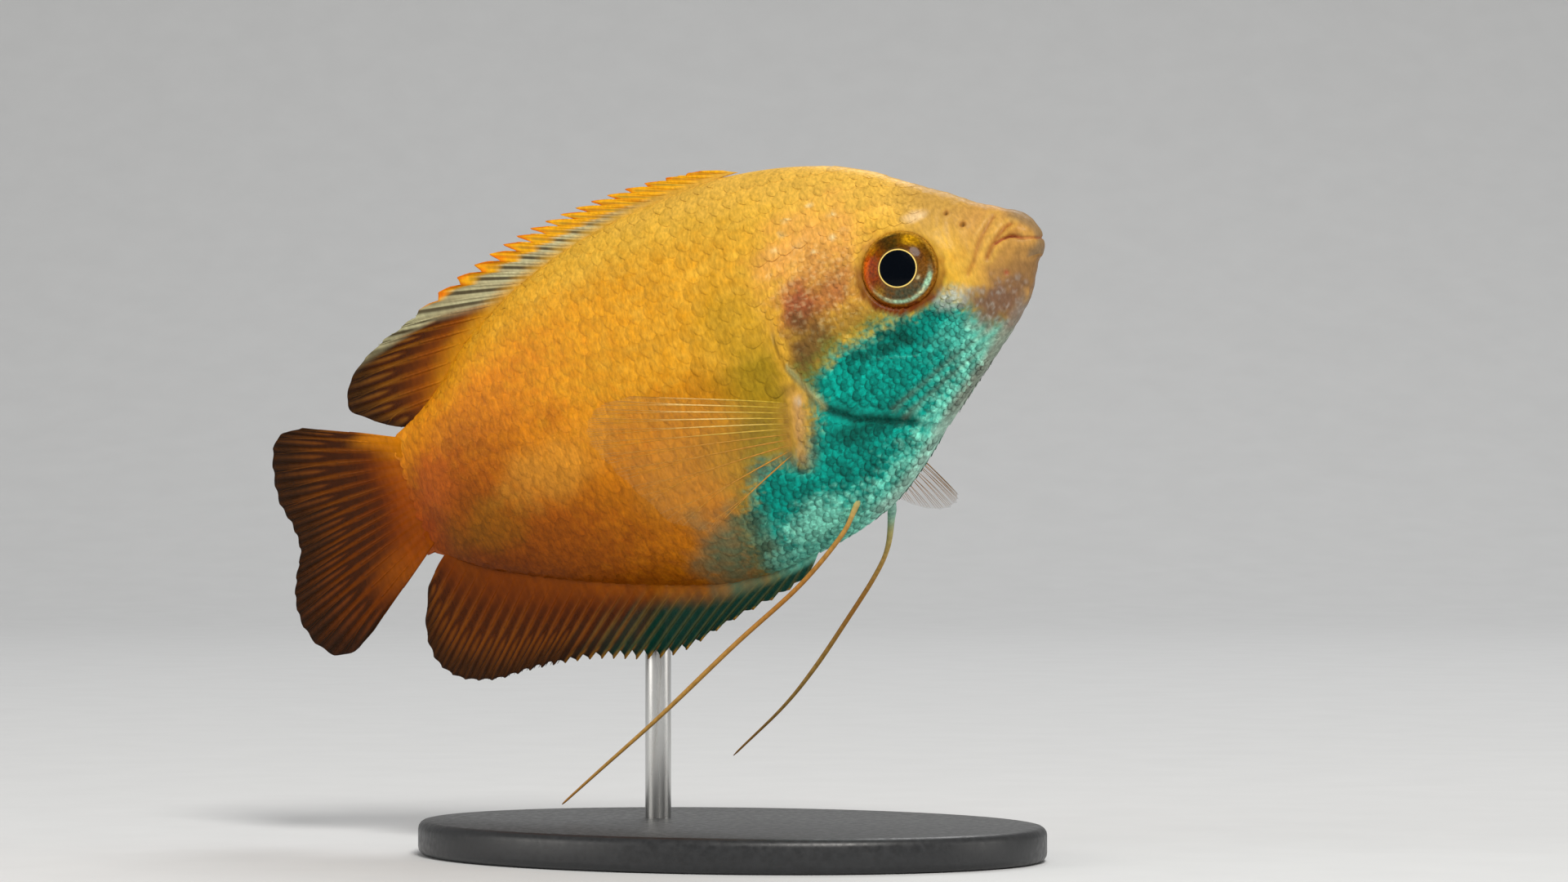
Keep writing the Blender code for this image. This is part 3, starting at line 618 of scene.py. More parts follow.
# Meshes
def read(data, kind="vertices", field="co"):
    items = getattr(data, kind)
    if field == "vertex_index":
        values = np.empty(len(items), np.int32)
        items.foreach_get(field, values)
        return values
    values = np.empty(len(items) * 3, np.float32)
    items.foreach_get(field, values)
    return values.reshape(-1, 3).astype(float)


def meshOf(shape, name):
    data = bpy.data.meshes.new(name)
    shape.to_mesh(data)
    shape.free()
    return data


def repeated(template, count, name):
    joined = bmesh.new()
    for _ in range(count):
        joined.from_mesh(template)
    return meshOf(joined, name)


def setPlaces(data, places):
    data.vertices.foreach_set("co", posed(places).astype(np.float32).ravel())
    data.update()


def setPaint(data, colour, teal=None):
    layer = data.attributes.new("hue", "FLOAT_COLOR", "POINT")
    full = np.concatenate([np.clip(colour, 0, 1), np.ones((len(colour), 1))], 1)
    layer.data.foreach_set("color", full.astype(np.float32).ravel())
    layer = data.attributes.new("teal", "FLOAT", "POINT")
    teal = np.zeros(len(colour)) if teal is None else teal
    layer.data.foreach_set("value", teal.astype(np.float32))


def addPiece(name, data, material, nodes=(), sheet=0.0, crease=0.0):
    turned = bmesh.new()
    turned.from_mesh(data)
    bmesh.ops.recalc_face_normals(turned, faces=turned.faces)
    turned.to_mesh(data)
    turned.free()
    data.materials.append(material)
    data.shade_smooth()
    if crease:
        data.set_sharp_from_angle(angle=crease)
    piece = bpy.data.objects.new(name, data)
    bpy.context.scene.collection.objects.link(piece)
    if sheet:
        wall = piece.modifiers.new("Thickness", "SOLIDIFY")
        wall.thickness = sheet * mm
        wall.offset = 0
    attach(piece, "root")
    if nodes:
        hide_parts(*nodes)
    return piece


# Skin: one closed surface, shaped from a sphere whose poles are the snout and the tail root
skinForm = {"rings": 380, "around": 240, "crowding": 1.4, "inset": 0.1}


def makeSkin():
    rings = skinForm["rings"]
    shape = bmesh.new()
    bmesh.ops.create_uvsphere(shape, u_segments=skinForm["around"], v_segments=rings, radius=1)
    data = meshOf(shape, "skin")
    x, y, z = read(data).T
    share = np.minimum(np.arccos(np.clip(z, -1, 1)) / math.pi * rings / (rings - 1), 1)
    back = body["length"] * share ** skinForm["crowding"]
    place = section(back, np.arctan2(y, x))
    pole = np.hypot(x, y) < 1e-5
    place[pole, 1] = 0
    place[pole, 2] = alongBody("widest", back[pole])
    data.vertices.foreach_set("co", place.astype(np.float32).ravel())
    data.update()
    outward = read(data, "vertex_normals", "vector")
    if (outward[:, 1] * place[:, 1]).sum() < 0:
        outward = -outward
    raised = skinRelief(*place.T) - skinForm["inset"]
    colour, teal = markings(place)
    setPlaces(data, place + outward * raised[:, None])
    setPaint(data, colour, teal)
    material = livingMaterial("gourami skin", finishes["skin"])
    return addPiece("skin", data, material, ("head", "trunk", "tail_stalk"))


skin = makeSkin()
print("skin made,", len(skin.data.polygons), "faces")


# Scales: thin plates in rows along the body, each lying over the roots of the next ones
scaleForm = {
    "columns": 4, "rows": 5, "long": 1.6, "high": 1.36, "rootLift": -0.05, "edgeLift": 0.026, "crown": 0.01,
    "thick": 0.02, "rim": 0.13, "tealRim": 0.42, "tealLift": 0.02, "tone": 0.05, "tealTone": 0.12,
}
trunkRows = {"start": 5.4, "end": 42.0, "along": 0.88, "around": 1.04, "size": 1.0}
coverRows = {"start": 5.0, "end": 22.0, "along": 0.46, "around": 0.54, "size": 0.51}
rowLimit = 36
scatter = {"back": 0.03, "around": 0.02}
# how far the scales stay from bare parts
bareMargin = {
    "pectoralRoot": 0.6, "eye": 2.75, "eyeShift": 0.4, "gill": 0.3, "gillCover": 1.0, "snout": 4.6,
    "edge": 0.1,
}
patchSize = 0.003


def sizeAt(back):
    # scales are smaller towards the snout and the tail
    return np.interp(back, [4, 9, 15, 30, 39, 42], [0.5, 0.74, 1.0, 0.98, 0.8, 0.55])


def scaleRoots(rows, hand, keep):
    found = []
    for row in range(-rowLimit, rowLimit + 1):
        back = rows["start"] + (row % 2) * rows["along"] / 2
        while back < rows["end"]:
            found.append((back, row * rows["around"]))
            back += rows["along"] * sizeAt(back) ** 0.6
    back, around = np.array(found).T
    around *= sizeAt(back) ** 0.85
    back += draw.normal(0, scatter["back"], len(back))
    around += draw.normal(0, scatter["around"], len(back))
    place = onBody(back, around, hand)
    kept = np.abs(around) < reachOf(back, around > 0) - bareMargin["edge"]
    kept &= keep(place[:, 0], place[:, 2])
    count = kept.sum()
    return back[kept], around[kept], np.full(count, hand), np.full(count, rows["size"])


def onCover(back, up):
    # the cheek, the gill cover and the breast, whose scales are smaller than the nape's and the trunk's
    below = up < np.interp(back, [5, 8, 10, 14.3], [2.5, 4.3, 4.7, 4.2])
    return (inside(headOutline, back, up) & below) | (depthIn(tealOutline, back, up) > -0.4)


def clearOfParts(back, up):
    fromEye = eyeDistance(back + bareMargin["eyeShift"], up)
    return (distanceTo(pectoralRoot, back, up) > bareMargin["pectoralRoot"]) & (fromEye > bareMargin["eye"])


def onTrunk(back, up):
    fromGill = distanceTo(gillOpening[2:], back, up)
    return ~onCover(back, up) & clearOfParts(back, up) & (fromGill > bareMargin["gill"])


def onCheek(back, up):
    margin = np.where(inside(headOutline, back, up), bareMargin["gillCover"], bareMargin["gill"])
    fromGill = distanceTo(gillOpening[4:], back, up)
    return onCover(back, up) & clearOfParts(back, up) & (fromGill > margin) & (back > bareMargin["snout"])


def makeScales(name, roots, material):
    shape = bmesh.new()
    bmesh.ops.create_grid(shape, x_segments=scaleForm["columns"], y_segments=scaleForm["rows"], size=1)
    bmesh.ops.solidify(shape, geom=shape.faces[:], thickness=1)
    template = meshOf(shape, "scaleTemplate")
    corner = read(template)
    along, across = (corner[:, 0] + 1) / 2, corner[:, 1]
    under = corner[:, 2] < corner[:, 2].mean()
    back, around, hand, pitch = roots
    count = len(back)
    size = (sizeAt(back) * pitch)[:, None]
    length = scaleForm["long"] * size * draw.normal(1, 0.03, (count, 1))
    there = back[:, None] + along * (1 - 0.3 * across**2 * along) * length
    outline = 0.62 + 0.38 * np.sin(math.pi * 0.62 * np.minimum(along * 1.15, 1))
    beside = around[:, None] + across * outline * scaleForm["high"] / 2 * size
    hands = np.repeat(hand[:, None], len(corner), 1)
    rootPlace = onBody(back, around, hand)
    edgeLift = scaleForm["edgeLift"] + scaleForm["tealLift"] * markings(rootPlace)[1][:, None]
    lift = scaleForm["rootLift"] + (edgeLift - scaleForm["rootLift"]) * along
    lift = (lift + scaleForm["crown"] * (1 - across**2) - under * scaleForm["thick"]) * np.clip(size, 0.6, 1)
    place = onBody(there, beside, hands)
    root = skinRelief(*rootPlace.T)[:, None]
    raised = skinRelief(*place.reshape(-1, 3).T).reshape(count, -1)
    raised = np.clip(raised, root - 0.08, root + 0.08) + lift - skinForm["inset"] + 0.04
    place = place + onBodyNormal(there, beside, hands) * raised[..., None]
    data = repeated(template, count, name)
    bpy.data.meshes.remove(template)
    place = place.reshape(-1, 3)
    setPlaces(data, place)
    colour, teal = markings(place)
    each = np.repeat(np.clip(draw.normal(0, 1, count), -1.6, 1.6), len(corner))
    keelEdge = place[:, 2] - alongBody("keel", place[:, 0])
    gleam = np.tile(bump(along - 0.66, 0.16), count) * ease((2.5 - keelEdge) / 2)
    colour = over(colour, "mint", 0.4 * teal * ease(each / 1.2) * gleam)
    tone = 1.02 + each * (scaleForm["tone"] + scaleForm["tealTone"] * teal)
    rim = np.tile(ease((along - 0.65) / 0.35), count) * (scaleForm["rim"] + scaleForm["tealRim"] * teal)
    setPaint(data, colour * np.clip(tone - rim, 0.3, 1.6)[:, None], teal)

    # each scale is a small patch at its root's place on the unwrapped skin
    layer = data.uv_layers.new(name="OFBake")
    centre = np.stack([0.03 + 0.94 * back / body["length"], 0.5 + hand * (0.24 + around / 70)], 1)
    patch = np.stack([along - 0.5, across / 2], 1) * patchSize
    spots = (centre[:, None, :] + patch[None, :, :]).reshape(-1, 2)
    layer.data.foreach_set("uv", spots[read(data, "loops", "vertex_index")].astype(np.float32).ravel())
    return addPiece(name, data, material, crease=0.6)


def makeCoat():
    material = livingMaterial("gourami scales", finishes["scales"], Metallic=0.1)
    for label, hand in (("Left", 1), ("Right", -1)):
        parts = [scaleRoots(rows, hand, keep) for rows, keep in ((trunkRows, onTrunk), (coverRows, onCheek))]
        roots = [np.concatenate(values) for values in zip(*parts)]
        scales = makeScales("scales" + label, roots, material)
        print(label, "scales made,", len(roots[0]), "of them,", len(scales.data.polygons), "faces")


makeCoat()


# Eyes: a dome with a clear coat; its paint knows the distance from the middle of the pupil
eyeForm = {
    "radius": 2.25, "depth": 1.12, "sink": 0.45, "pupil": 1.02, "ring": 1.115, "segments": 96, "rings": 72,
}


# Parts of the iris: tone, strength, angle from the snout's side upwards, width, inner and outer radius
irisParts = [
    ("irisOlive", 0.97, 92, 36, 0.3, 0.95),
    ("irisGold", 0.8, 48, 16, 0.6, 0.95),
    ("irisGold", 0.6, 128, 10, 0.7, 0.95),
    ("irisRust", 0.95, 165, 40, 0.3, 1.0),
    ("irisFire", 0.7, 158, 18, 0.72, 0.95),
    ("irisFire", 0.5, -172, 12, 0.76, 0.95),
    ("irisGold", 0.5, -148, 10, 0.6, 0.9),
    ("mouth", 0.7, 25, 26, 0.5, 0.75),
    ("irisOlive", 0.6, 10, 26, 0.72, 0.98),
    ("irisSmoke", 0.95, -90, 60, 0.3, 0.8),
    ("irisSilver", 0.85, -102, 46, 0.75, 0.89),
    ("irisSilver", 1.0, -44, 19, 0.71, 0.89),
    ("glint", 0.8, -125, 9, 0.76, 0.85),
    ("glint", 0.7, -62, 10, 0.76, 0.86),
    ("glint", 1.0, -42, 5, 0.5, 0.62),
]


def flankSide(back, up):
    level = alongBody("widest", back)
    upper = up > level
    end = np.where(upper, alongBody("ridge", back), alongBody("keel", back))
    taper = np.where(upper, alongBody("ridgeTaper", back), alongBody("keelTaper", back))
    share = np.clip((up - level) / (end - level), 0, 1)
    return alongBody("halfWidth", back) * np.sqrt(1 - share * share) ** taper


def flankNormal(back, up, hand):
    step = 0.2
    byBack = (flankSide(back + step, up) - flankSide(back - step, up)) / (2 * step)
    byUp = (flankSide(back, up + step) - flankSide(back, up - step)) / (2 * step)
    return Vector((-byBack, hand, -byUp)).normalized()


def eyeMaterial():
    material, nodes, links, shader = newMaterial(
        "gourami eye", Coat_Weight=0.07, Coat_Roughness=0.02, Specular_IOR_Level=0.03
    )
    mottle = lumps(nodes, links, 0.14).outputs["Fac"]
    iris = scaledColour(nodes, links, attribute(nodes, "hue"), ranged(nodes, links, mottle, 0.6, 1.45))
    rings = nodes.new("ShaderNodeValToRGB")
    pupil, ring = eyeForm["pupil"] / eyeForm["radius"], eyeForm["ring"] / eyeForm["radius"]
    stops = [
        (pupil, (0.001, 0.002, 0.004, 1)), (pupil + 0.012, (0.95, 0.72, 0.22, 1)),
        (ring - 0.012, (0.75, 0.5, 0.12, 1)), (ring, (0.1, 0.06, 0.02, 0.7)),
        (ring + 0.05, (0.1, 0.06, 0.02, 0)),
    ]
    for place, colour in stops[2:]:
        rings.color_ramp.elements.new(place).color = colour
    for element, (place, colour) in zip(rings.color_ramp.elements, stops):
        element.position = place
        element.color = colour
    links.new(attribute(nodes, "away", "Fac"), rings.inputs["Fac"])
    mixed = nodes.new("ShaderNodeMix")
    mixed.data_type = "RGBA"
    links.new(rings.outputs["Alpha"], mixed.inputs[0])
    links.new(iris, mixed.inputs[6])
    links.new(rings.outputs["Color"], mixed.inputs[7])
    links.new(mixed.outputs[2], shader.inputs["Base Color"])
    links.new(ranged(nodes, links, mottle, 0.12, 0.3), shader.inputs["Roughness"])
    roughened(nodes, links, shader, mottle, 0.25, 0.01)
    return material


def makeEye(hand, material):
    name = "eye_left" if hand > 0 else "eye_right"
    facing = flankNormal(eyePlace["back"], eyePlace["up"], hand)
    forward = Vector((-1, 0, 0)).cross(facing).cross(facing).normalized() * -1
    upward = facing.cross(forward) * hand
    shape = bmesh.new()
    bmesh.ops.create_uvsphere(shape, u_segments=eyeForm["segments"], v_segments=eyeForm["rings"], radius=1)
    data = meshOf(shape, name)
    x, y, z = read(data).T
    away = np.where(z > 0, np.hypot(x, y), 1)
    centre = np.array([eyePlace["back"], hand * flankSide(eyePlace["back"], eyePlace["up"]), eyePlace["up"]])
    centre = centre - np.array(facing) * eyeForm["sink"]
    ball = np.outer(x, forward) * eyeForm["radius"] + np.outer(y, upward) * eyeForm["radius"]
    place = centre + ball + np.outer(z, facing) * eyeForm["depth"]
    turn = np.arctan2(y, x)
    spokes = np.stack([4 * np.cos(turn), 4 * np.sin(turn), 2 * away], 1)
    fine = 1.4 * grain(place, 0.2, 6) + grain(spokes, 0.5, 9)
    colour = np.tile(linear("irisBronze"), (len(x), 1))
    for tone, share, angle, width, inner, outer in irisParts:
        apart = (turn - math.radians(angle) + math.pi) % (2 * math.pi) - math.pi
        band = bump(apart, math.radians(width)) * ease((away - inner) / 0.07) * ease((outer - away) / 0.07)
        colour = over(colour, tone, share * np.clip(band * (1 + 0.5 * fine), 0, 1))
    rim = ease((away - 0.87 + 0.03 * fine) / 0.07)
    colour = over(over(colour, "gold", 0.5 * rim), "eyeRim", (0.6 - 0.5 * np.sin(turn + 0.4)) * rim)
    setPlaces(data, place)
    setPaint(data, colour)
    layer = data.attributes.new("away", "FLOAT", "POINT")
    layer.data.foreach_set("value", away.astype(np.float32))
    addPiece("eyeball" + name[4:].title(), data, material, (name,))


glassy = eyeMaterial()
for hand in (1, -1):
    makeEye(hand, glassy)
print("eyes made")


# Thin tubes along paths, for fin rays, spines and feelers
def tubes(name, paths, radii, sides):
    # paths holds (tube, ring, place), radii (tube, ring); gives also the ring of each point of a tube
    count, rings = radii.shape
    shape = bmesh.new()
    bmesh.ops.create_uvsphere(shape, u_segments=sides, v_segments=rings + 1, radius=1)
    template = meshOf(shape, name + "Template")
    x, y, z = read(template).T
    ring = np.rint(np.arccos(np.clip(z, -1, 1)) / math.pi * (rings + 1)).astype(int) - 1
    pole = (ring < 0) | (ring == rings)
    ring = np.clip(ring, 0, rings - 1)
    turn = np.arctan2(y, x)[None, :, None]
    tangent = np.gradient(paths, axis=1)
    first = np.cross(tangent, (0.05, 0.9, 0.43))
    second = np.cross(tangent, first)
    first, second = (v / np.linalg.norm(v, axis=2, keepdims=True) for v in (first, second))
    around = first[:, ring] * np.cos(turn) + second[:, ring] * np.sin(turn)
    place = paths[:, ring] + around * (radii[:, ring] * ~pole)[..., None]
    data = repeated(template, count, name)
    bpy.data.meshes.remove(template)
    setPlaces(data, place.reshape(-1, 3))
    return data, ring


# Fins: share runs along the row of rays, out from a ray's root to its tip
dorsal = {
    "start": 17.0, "end": 39.9, "rays": 25, "spines": 17, "thick": 0.09, "stout": (0.13, 0.05), "sunk": 1.4,
    "sweep": [
        (0.0, 22.0), (0.25, 22.0), (0.6, 19.5), (0.7, 11.5), (0.78, 8.0), (0.86, 5.0), (0.92, 4.4),
        (0.96, 1.4), (1.0, -18.0),
    ],
    "length": [
        (0.0, 1.2), (0.12, 2.6), (0.35, 3.5), (0.6, 4.2), (0.7, 5.6), (0.78, 7.2), (0.86, 7.8), (0.92, 6.7),
        (0.96, 4.4), (0.985, 2.5), (1.0, 1.4),
    ],
    "notch": [(0.0, 0.5), (0.2, 1.7), (0.55, 1.6), (0.7, 0.7), (0.78, 0.2), (1.0, 0.1)], "soft": 0.72,
    "lobe": 0.35, "bare": 0.22,
}
anal = {
    "start": 19.2, "end": 42.0, "rays": 32, "spines": 18, "thick": 0.09, "stout": (0.12, 0.045), "sunk": 1.2,
    "sweep": [
        (0.0, -42.0), (0.1, -26.0), (0.25, -29.0), (0.5, -33.0), (0.75, -40.0), (0.88, -36.0), (1.0, -34.0),
    ],
    "length": [
        (0.0, 0.9), (0.08, 2.2), (0.2, 4.4), (0.5, 5.1), (0.65, 5.8), (0.75, 6.7), (0.84, 6.9), (0.91, 6.0),
        (0.96, 4.4), (1.0, 2.0),
    ],
    "notch": [(0.0, 0.3), (0.1, 0.7), (0.5, 0.6), (0.65, 0.25), (1.0, 0.1)], "soft": 0.58, "bare": 0.32,
}
caudal = {
    "top": 4.0, "bottom": -3.1, "rays": 17, "spines": 0, "thick": 0.09, "stout": (0.12, 0.045), "sunk": 1.6,
    "tips": [
        (0.0, 48.8, 6.75), (0.06, 50.6, 7.0), (0.12, 51.6, 6.5), (0.2, 52.3, 5.2), (0.3, 52.6, 3.4),
        (0.42, 52.0, 1.5), (0.52, 51.9, 0.0), (0.62, 52.7, -1.3), (0.72, 53.4, -2.7), (0.82, 53.5, -4.4),
        (0.9, 52.8, -5.9), (0.95, 51.7, -6.7), (0.98, 50.3, -6.8), (1.0, 48.6, -6.1),
    ],
    "notch": [(0.0, 0.1), (1.0, 0.1)], "soft": 0.0, "bare": 0.45,
}
pectoral = {
    "rays": 11, "spines": 0, "thick": 0.04, "stout": (0.05, 0.018), "clear": 0.05,
    "roots": [(16.2, -3.6), (17.1, -6.4)],
    "notch": [(0.0, 0.15), (1.0, 0.15)], "soft": 0.0, "bare": 0.12,
    "rightTips": [
        (0.0, 23.6, -6.9, -0.35), (0.12, 25.1, -7.3, -0.25), (0.25, 25.9, -7.5, -0.65),
        (0.5, 26.4, -7.45, -2.2), (0.65, 25.85, -7.25, -3.7), (0.8, 24.95, -6.9, -5.7),
        (0.9, 23.9, -6.5, -7.8), (1.0, 22.1, -6.0, -9.25),
    ],
    "leftTips": [
        (0.0, 12.8, 10.3, -10.5), (0.2, 13.8, 12.6, -10.65), (0.35, 15.0, 14.1, -10.6),
        (0.55, 16.7, 14.6, -9.85), (0.75, 18.3, 14.2, -8.3), (1.0, 19.4, 11.2, -6.6),
    ],
    "rightArch": (0.5, 0.0), "leftArch": (0.5, 0.9),
}
wave = {"height": 0.3, "count": 1.1, "pleat": 0.05}
# a membrane's rows from root to tip, and its columns from one ray to the next
membraneGrid = {"rows": 28, "columns": 10}
# the threads of a ray: where each starts and ends on the way from root to tip, and its stoutness
rayThreads = {
    "spine": (0.0, 1.0, 1.0), "stem": (0.0, 0.48, 1.0), "branch": (0.42, 0.8, 0.72),
    "twig": (0.74, 0.99, 0.55),
}
rayForm = {"rings": 22, "sides": 6, "jointShade": 0.14}


def swept(fin, rootBack, rootUp, share, out, short):
    angle = np.radians(smooth(fin["sweep"], share))
    reach = (smooth(fin["length"], share) - short) * out - fin["sunk"] * (1 - out) ** 4
    side = wave["height"] * np.sin(share * wave["count"] * 2 * math.pi) * out * out
    return np.stack([rootBack + reach * np.cos(angle), side, rootUp + reach * np.sin(angle)], -1)


def dorsalPlace(share, out, short=0.0):
    root = dorsal["start"] + share * (dorsal["end"] - dorsal["start"])
    above = 0.35 - 0.55 * ease((share - 0.8) / 0.2)
    return swept(dorsal, root, alongBody("ridge", root) + above, share, out, short)


def analPlace(share, out, short=0.0):
    root = anal["start"] + share * (anal["end"] - anal["start"])
    return swept(anal, root, alongBody("keel", root) - 0.35, share, out, short)


def caudalPlace(share, out, short=0.0):
    up = caudal["top"] + share * (caudal["bottom"] - caudal["top"])
    root = np.stack([body["length"] + 0.3 + 0 * up, 0 * up, up], -1)
    table = np.array(caudal["tips"])
    tip = np.stack([smooth(table[:, (0, 1)], share), 0 * up, smooth(table[:, (0, 2)], share)], -1)
    way = tip - root
    length = np.linalg.norm(way, axis=-1)
    reach = (length - short) * out - caudal["sunk"] * (1 - out) ** 4
    place = root + way * (reach / length)[..., None]
    place[..., 1] += wave["height"] * np.sin(share * wave["count"] * 2 * math.pi) * out * out
    return place


def pectoralPlace(hand, tips, arch):
    ends = np.array([(b, hand * flankSide(b, u), u) for b, u in pectoral["roots"]])
    lift = np.array(flankNormal(16.05, -5.25, hand)) * pectoral["clear"]
    table = np.array(tips)

    def place(share, out, short=0.0):
        share, out, short = np.broadcast_arrays(share, out, short)
        tip = np.stack([smooth(table[:, (0, i)], share) for i in (1, 2, 3)], -1)
        root = ends[0] + (ends[1] - ends[0]) * share[..., None] + lift
        way = tip - root
        tip = tip - way / np.linalg.norm(way, axis=-1, keepdims=True) * short[..., None]
        bow = np.array([0, hand * arch[0], arch[1]]) * (4 * out * (1 - out))[..., None]
        return root + (tip - root) * out[..., None] + bow

    return place


def notched(fin, share, local):
    # how far the fin's edge falls short of a full ray, local being the way from one ray to the next
    saw = ease((fin["soft"] - share) / 0.06 + 0.5) if fin["soft"] else 0
    lobe = fin.get("lobe", 0.0)
    rise = lobe * (1 - np.minimum(local / (lobe + 0.001), 1)) ** 2
    tooth = rise + (np.maximum(local - lobe, 0) / (1 - lobe)) ** 0.9
    return smooth(fin["notch"], share) * (saw * tooth + (1 - saw) * np.sin(math.pi * local)) + 0.04


def membrane(name, fin, place, paint, material, nodes):
    columns = membraneGrid["columns"]
    across = (fin["rays"] - 1) * columns
    shape = bmesh.new()
    bmesh.ops.create_grid(shape, x_segments=across, y_segments=membraneGrid["rows"], size=1)
    data = meshOf(shape, name)
    share, out = (read(data)[:, :2].T + 1) / 2
    local = np.rint(share * across) % columns / columns
    spot = place(share, out, notched(fin, share, local))
    spot[:, 1] += wave["pleat"] * np.sin(2 * math.pi * local) * out
    setPlaces(data, spot)
    setPaint(data, *paint(share, out, spot, local))
    return addPiece(name, data, material, nodes, fin["thick"])


def raysOf(name, fin, place, paint, material):
    # spines are whole; a soft ray parts into two branches, and each of those into two again
    gap = 1 / (fin["rays"] - 1)
    threads = []
    for ray in range(fin["rays"]):
        soft = ray >= fin["spines"]
        threads.append((ray * gap, 0, 0, *rayThreads["stem" if soft else "spine"]))
        for first in (-1, 1) if soft else ():
            threads.append((ray * gap, first, 0, *rayThreads["branch"]))
            threads += [(ray * gap, first, second, *rayThreads["twig"]) for second in (-1, 1)]
    share, first, second, start, end, stout = (np.array(v)[:, None] for v in zip(*threads))
    out = start + (end - start) * np.linspace(0, 1, rayForm["rings"])
    spread = first * 0.2 * ease((out - 0.42) / 0.5) + second * 0.1 * ease((out - 0.72) / 0.28)
    share = np.clip(share + spread * gap, 0, 1)
    paths = place(share, out, notched(fin, share, 0 * share))
    rootSize, tipSize = fin["stout"]
    radii = (rootSize + (tipSize - rootSize) * out**0.8) * stout * (1 - 0.5 * ease((out - 0.93) / 0.07))
    radii *= 0.1 + 0.9 * ease(out / fin["bare"])
    data, ring = tubes(name, paths, radii, rayForm["sides"])
    colour, teal = paint(*(v[:, ring].reshape(-1, *v.shape[2:]) for v in (share, out, paths)), None)
    joints = 1 - rayForm["jointShade"] * np.tile(ring % 2, len(threads))
    setPaint(data, colour * joints[:, None], teal)
    return addPiece(name, data, material)


def bodyTone(back, edge):
    # the body's colour just inside its ridge or keel, for the roots of the fins
    up = alongBody(edge, back) * 0.93
    return markings(np.stack([back, 0 * back, up], 1))


def streaks(fin, share, out, seed):
    return grain(np.stack([share * fin["rays"] * 2.4, out * 2.2, 0 * out], 1), 1.0, seed)


def between(local, out, forked, width):
    # one midway between two rays, and beyond their forks midway between two branches
    if local is None:
        return 0 * out
    single = 1 - np.abs(2 * local - 1)
    double = 1 - np.abs(2 * (2 * local % 1) - 1)
    fork = ease((out - 0.45) / 0.25) * forked
    return ease((single * (1 - fork) + double * fork - 1 + width) / (0.6 * width))


def tissueTone(out, dark, streak, tan, depth):
    colour = np.tile(linear("finRust"), (len(out), 1))
    colour = over(colour, "finTan", tan * (1 - dark) * ease(out * 1.7 - 0.2 + 0.3 * streak))
    colour = over(colour, "finDark", depth * dark * ease(out * 2.0))
    return over(colour, "finTip", 0.75 * ease((out - 0.6 + 0.12 * streak) / 0.35))


def rootedIn(own, base, teal, out, reach):
    blend = ease((reach - out) / reach)[:, None]
    return own + (base - own) * blend, teal * blend[:, 0]


def paintDorsal(share, out, spot, local):
    streak = streaks(dorsal, share, out, 3)
    soft = ease((share - 0.68) / 0.06)
    dark = between(local, out, soft, 0.42 + 0.38 * soft)
    colour = tissueTone(out, dark, streak, 0.8, 0.65)
    flapFrom = np.interp(share, [0.1, 0.3, 0.5, 0.62, 0.7], [0.05, 0.28, 0.45, 0.74, 1.15])
    ash = (1 - soft) * ease((share - 0.1) / 0.3)
    ash += soft * ease((0.84 - share) / 0.1) * ease((out - 0.45 - 3.5 * (share - 0.7)) / 0.25)
    colour = over(colour, "finAsh", (0.85 + 0.3 * streak) * ash)
    colour = over(colour, "finShade", 0.9 * ash * dark)
    flap = (1 - soft) * ease((out - flapFrom) / 0.2 + 0.5)
    colour = over(colour, "flap", flap)
    colour = over(colour, "finMoss", 0.55 * flap * dark * ease((0.95 - out) / 0.3))
    colour = over(colour, "orange", 0.7 * flap * ease(0.1 + streak + 0.5 * dark))
    colour = over(colour, "flapTip", 0.8 * flap * ease((out - 0.8 + 0.2 * streak) / 0.2))
    colour = over(colour, "rust", 0.7 * soft * ease((0.55 - out) / 0.35) * (1 - 0.5 * dark))
    base, teal = bodyTone(np.clip(spot[:, 0], 12, 40.5), "ridge")
    return rootedIn(colour, base, teal, out, 0.3)


def paintAnal(share, out, spot, local):
    streak = streaks(anal, share, out, 4)
    dark = between(local, out, share > anal["soft"], 0.8)
    colour = tissueTone(out, dark, streak, 0.35, 0.65)
    front = ease((0.56 - share) / 0.26 + 0.35 * streak)
    colour = over(colour, "finMoss", 0.5 * (1 - dark) * front)
    colour = over(colour, "finGreen", (0.74 + 0.24 * dark) * front)
    edge = ease((out - 0.86) / 0.1) * ease((anal["soft"] - share) / 0.06)
    colour = over(colour, "flap" if local is None else "finTan", 0.6 * (1 - dark) * edge)
    base, teal = bodyTone(np.clip(spot[:, 0], 14, 41.5), "keel")
    return rootedIn(colour, base, teal, out, 0.36)


def paintCaudal(share, out, spot, local):
    streak = streaks(caudal, share, out, 5)
    dark = between(local, out, 1, 0.85)
    colour = tissueTone(out, dark, streak, 0.45 - 0.35 * share, 0.78)
    lower = ease((share - 0.72) / 0.2)
    upper = ease((0.16 - share) / 0.12)
    reach = 0.3 + 0.34 * lower
    colour = over(colour, "ember", ease((reach - out) / 0.24 + 0.3 * streak) * (1 - 0.3 * dark))
    colour = over(colour, "rust", 0.6 * lower * ease((0.55 - out) / 0.3))
    colour = over(colour, "flame", 0.25 * ease((0.34 - out) / 0.2) * (1 - upper))
    colour = over(colour, "orange", 0.8 * upper * ease((0.46 - out) / 0.2))
    up = caudal["top"] + share * (caudal["bottom"] - caudal["top"])
    base, teal = markings(np.stack([np.full(len(out), 41.2), 0 * out, 0.9 * up], 1))
    return rootedIn(colour, base, teal, out, 0.3)


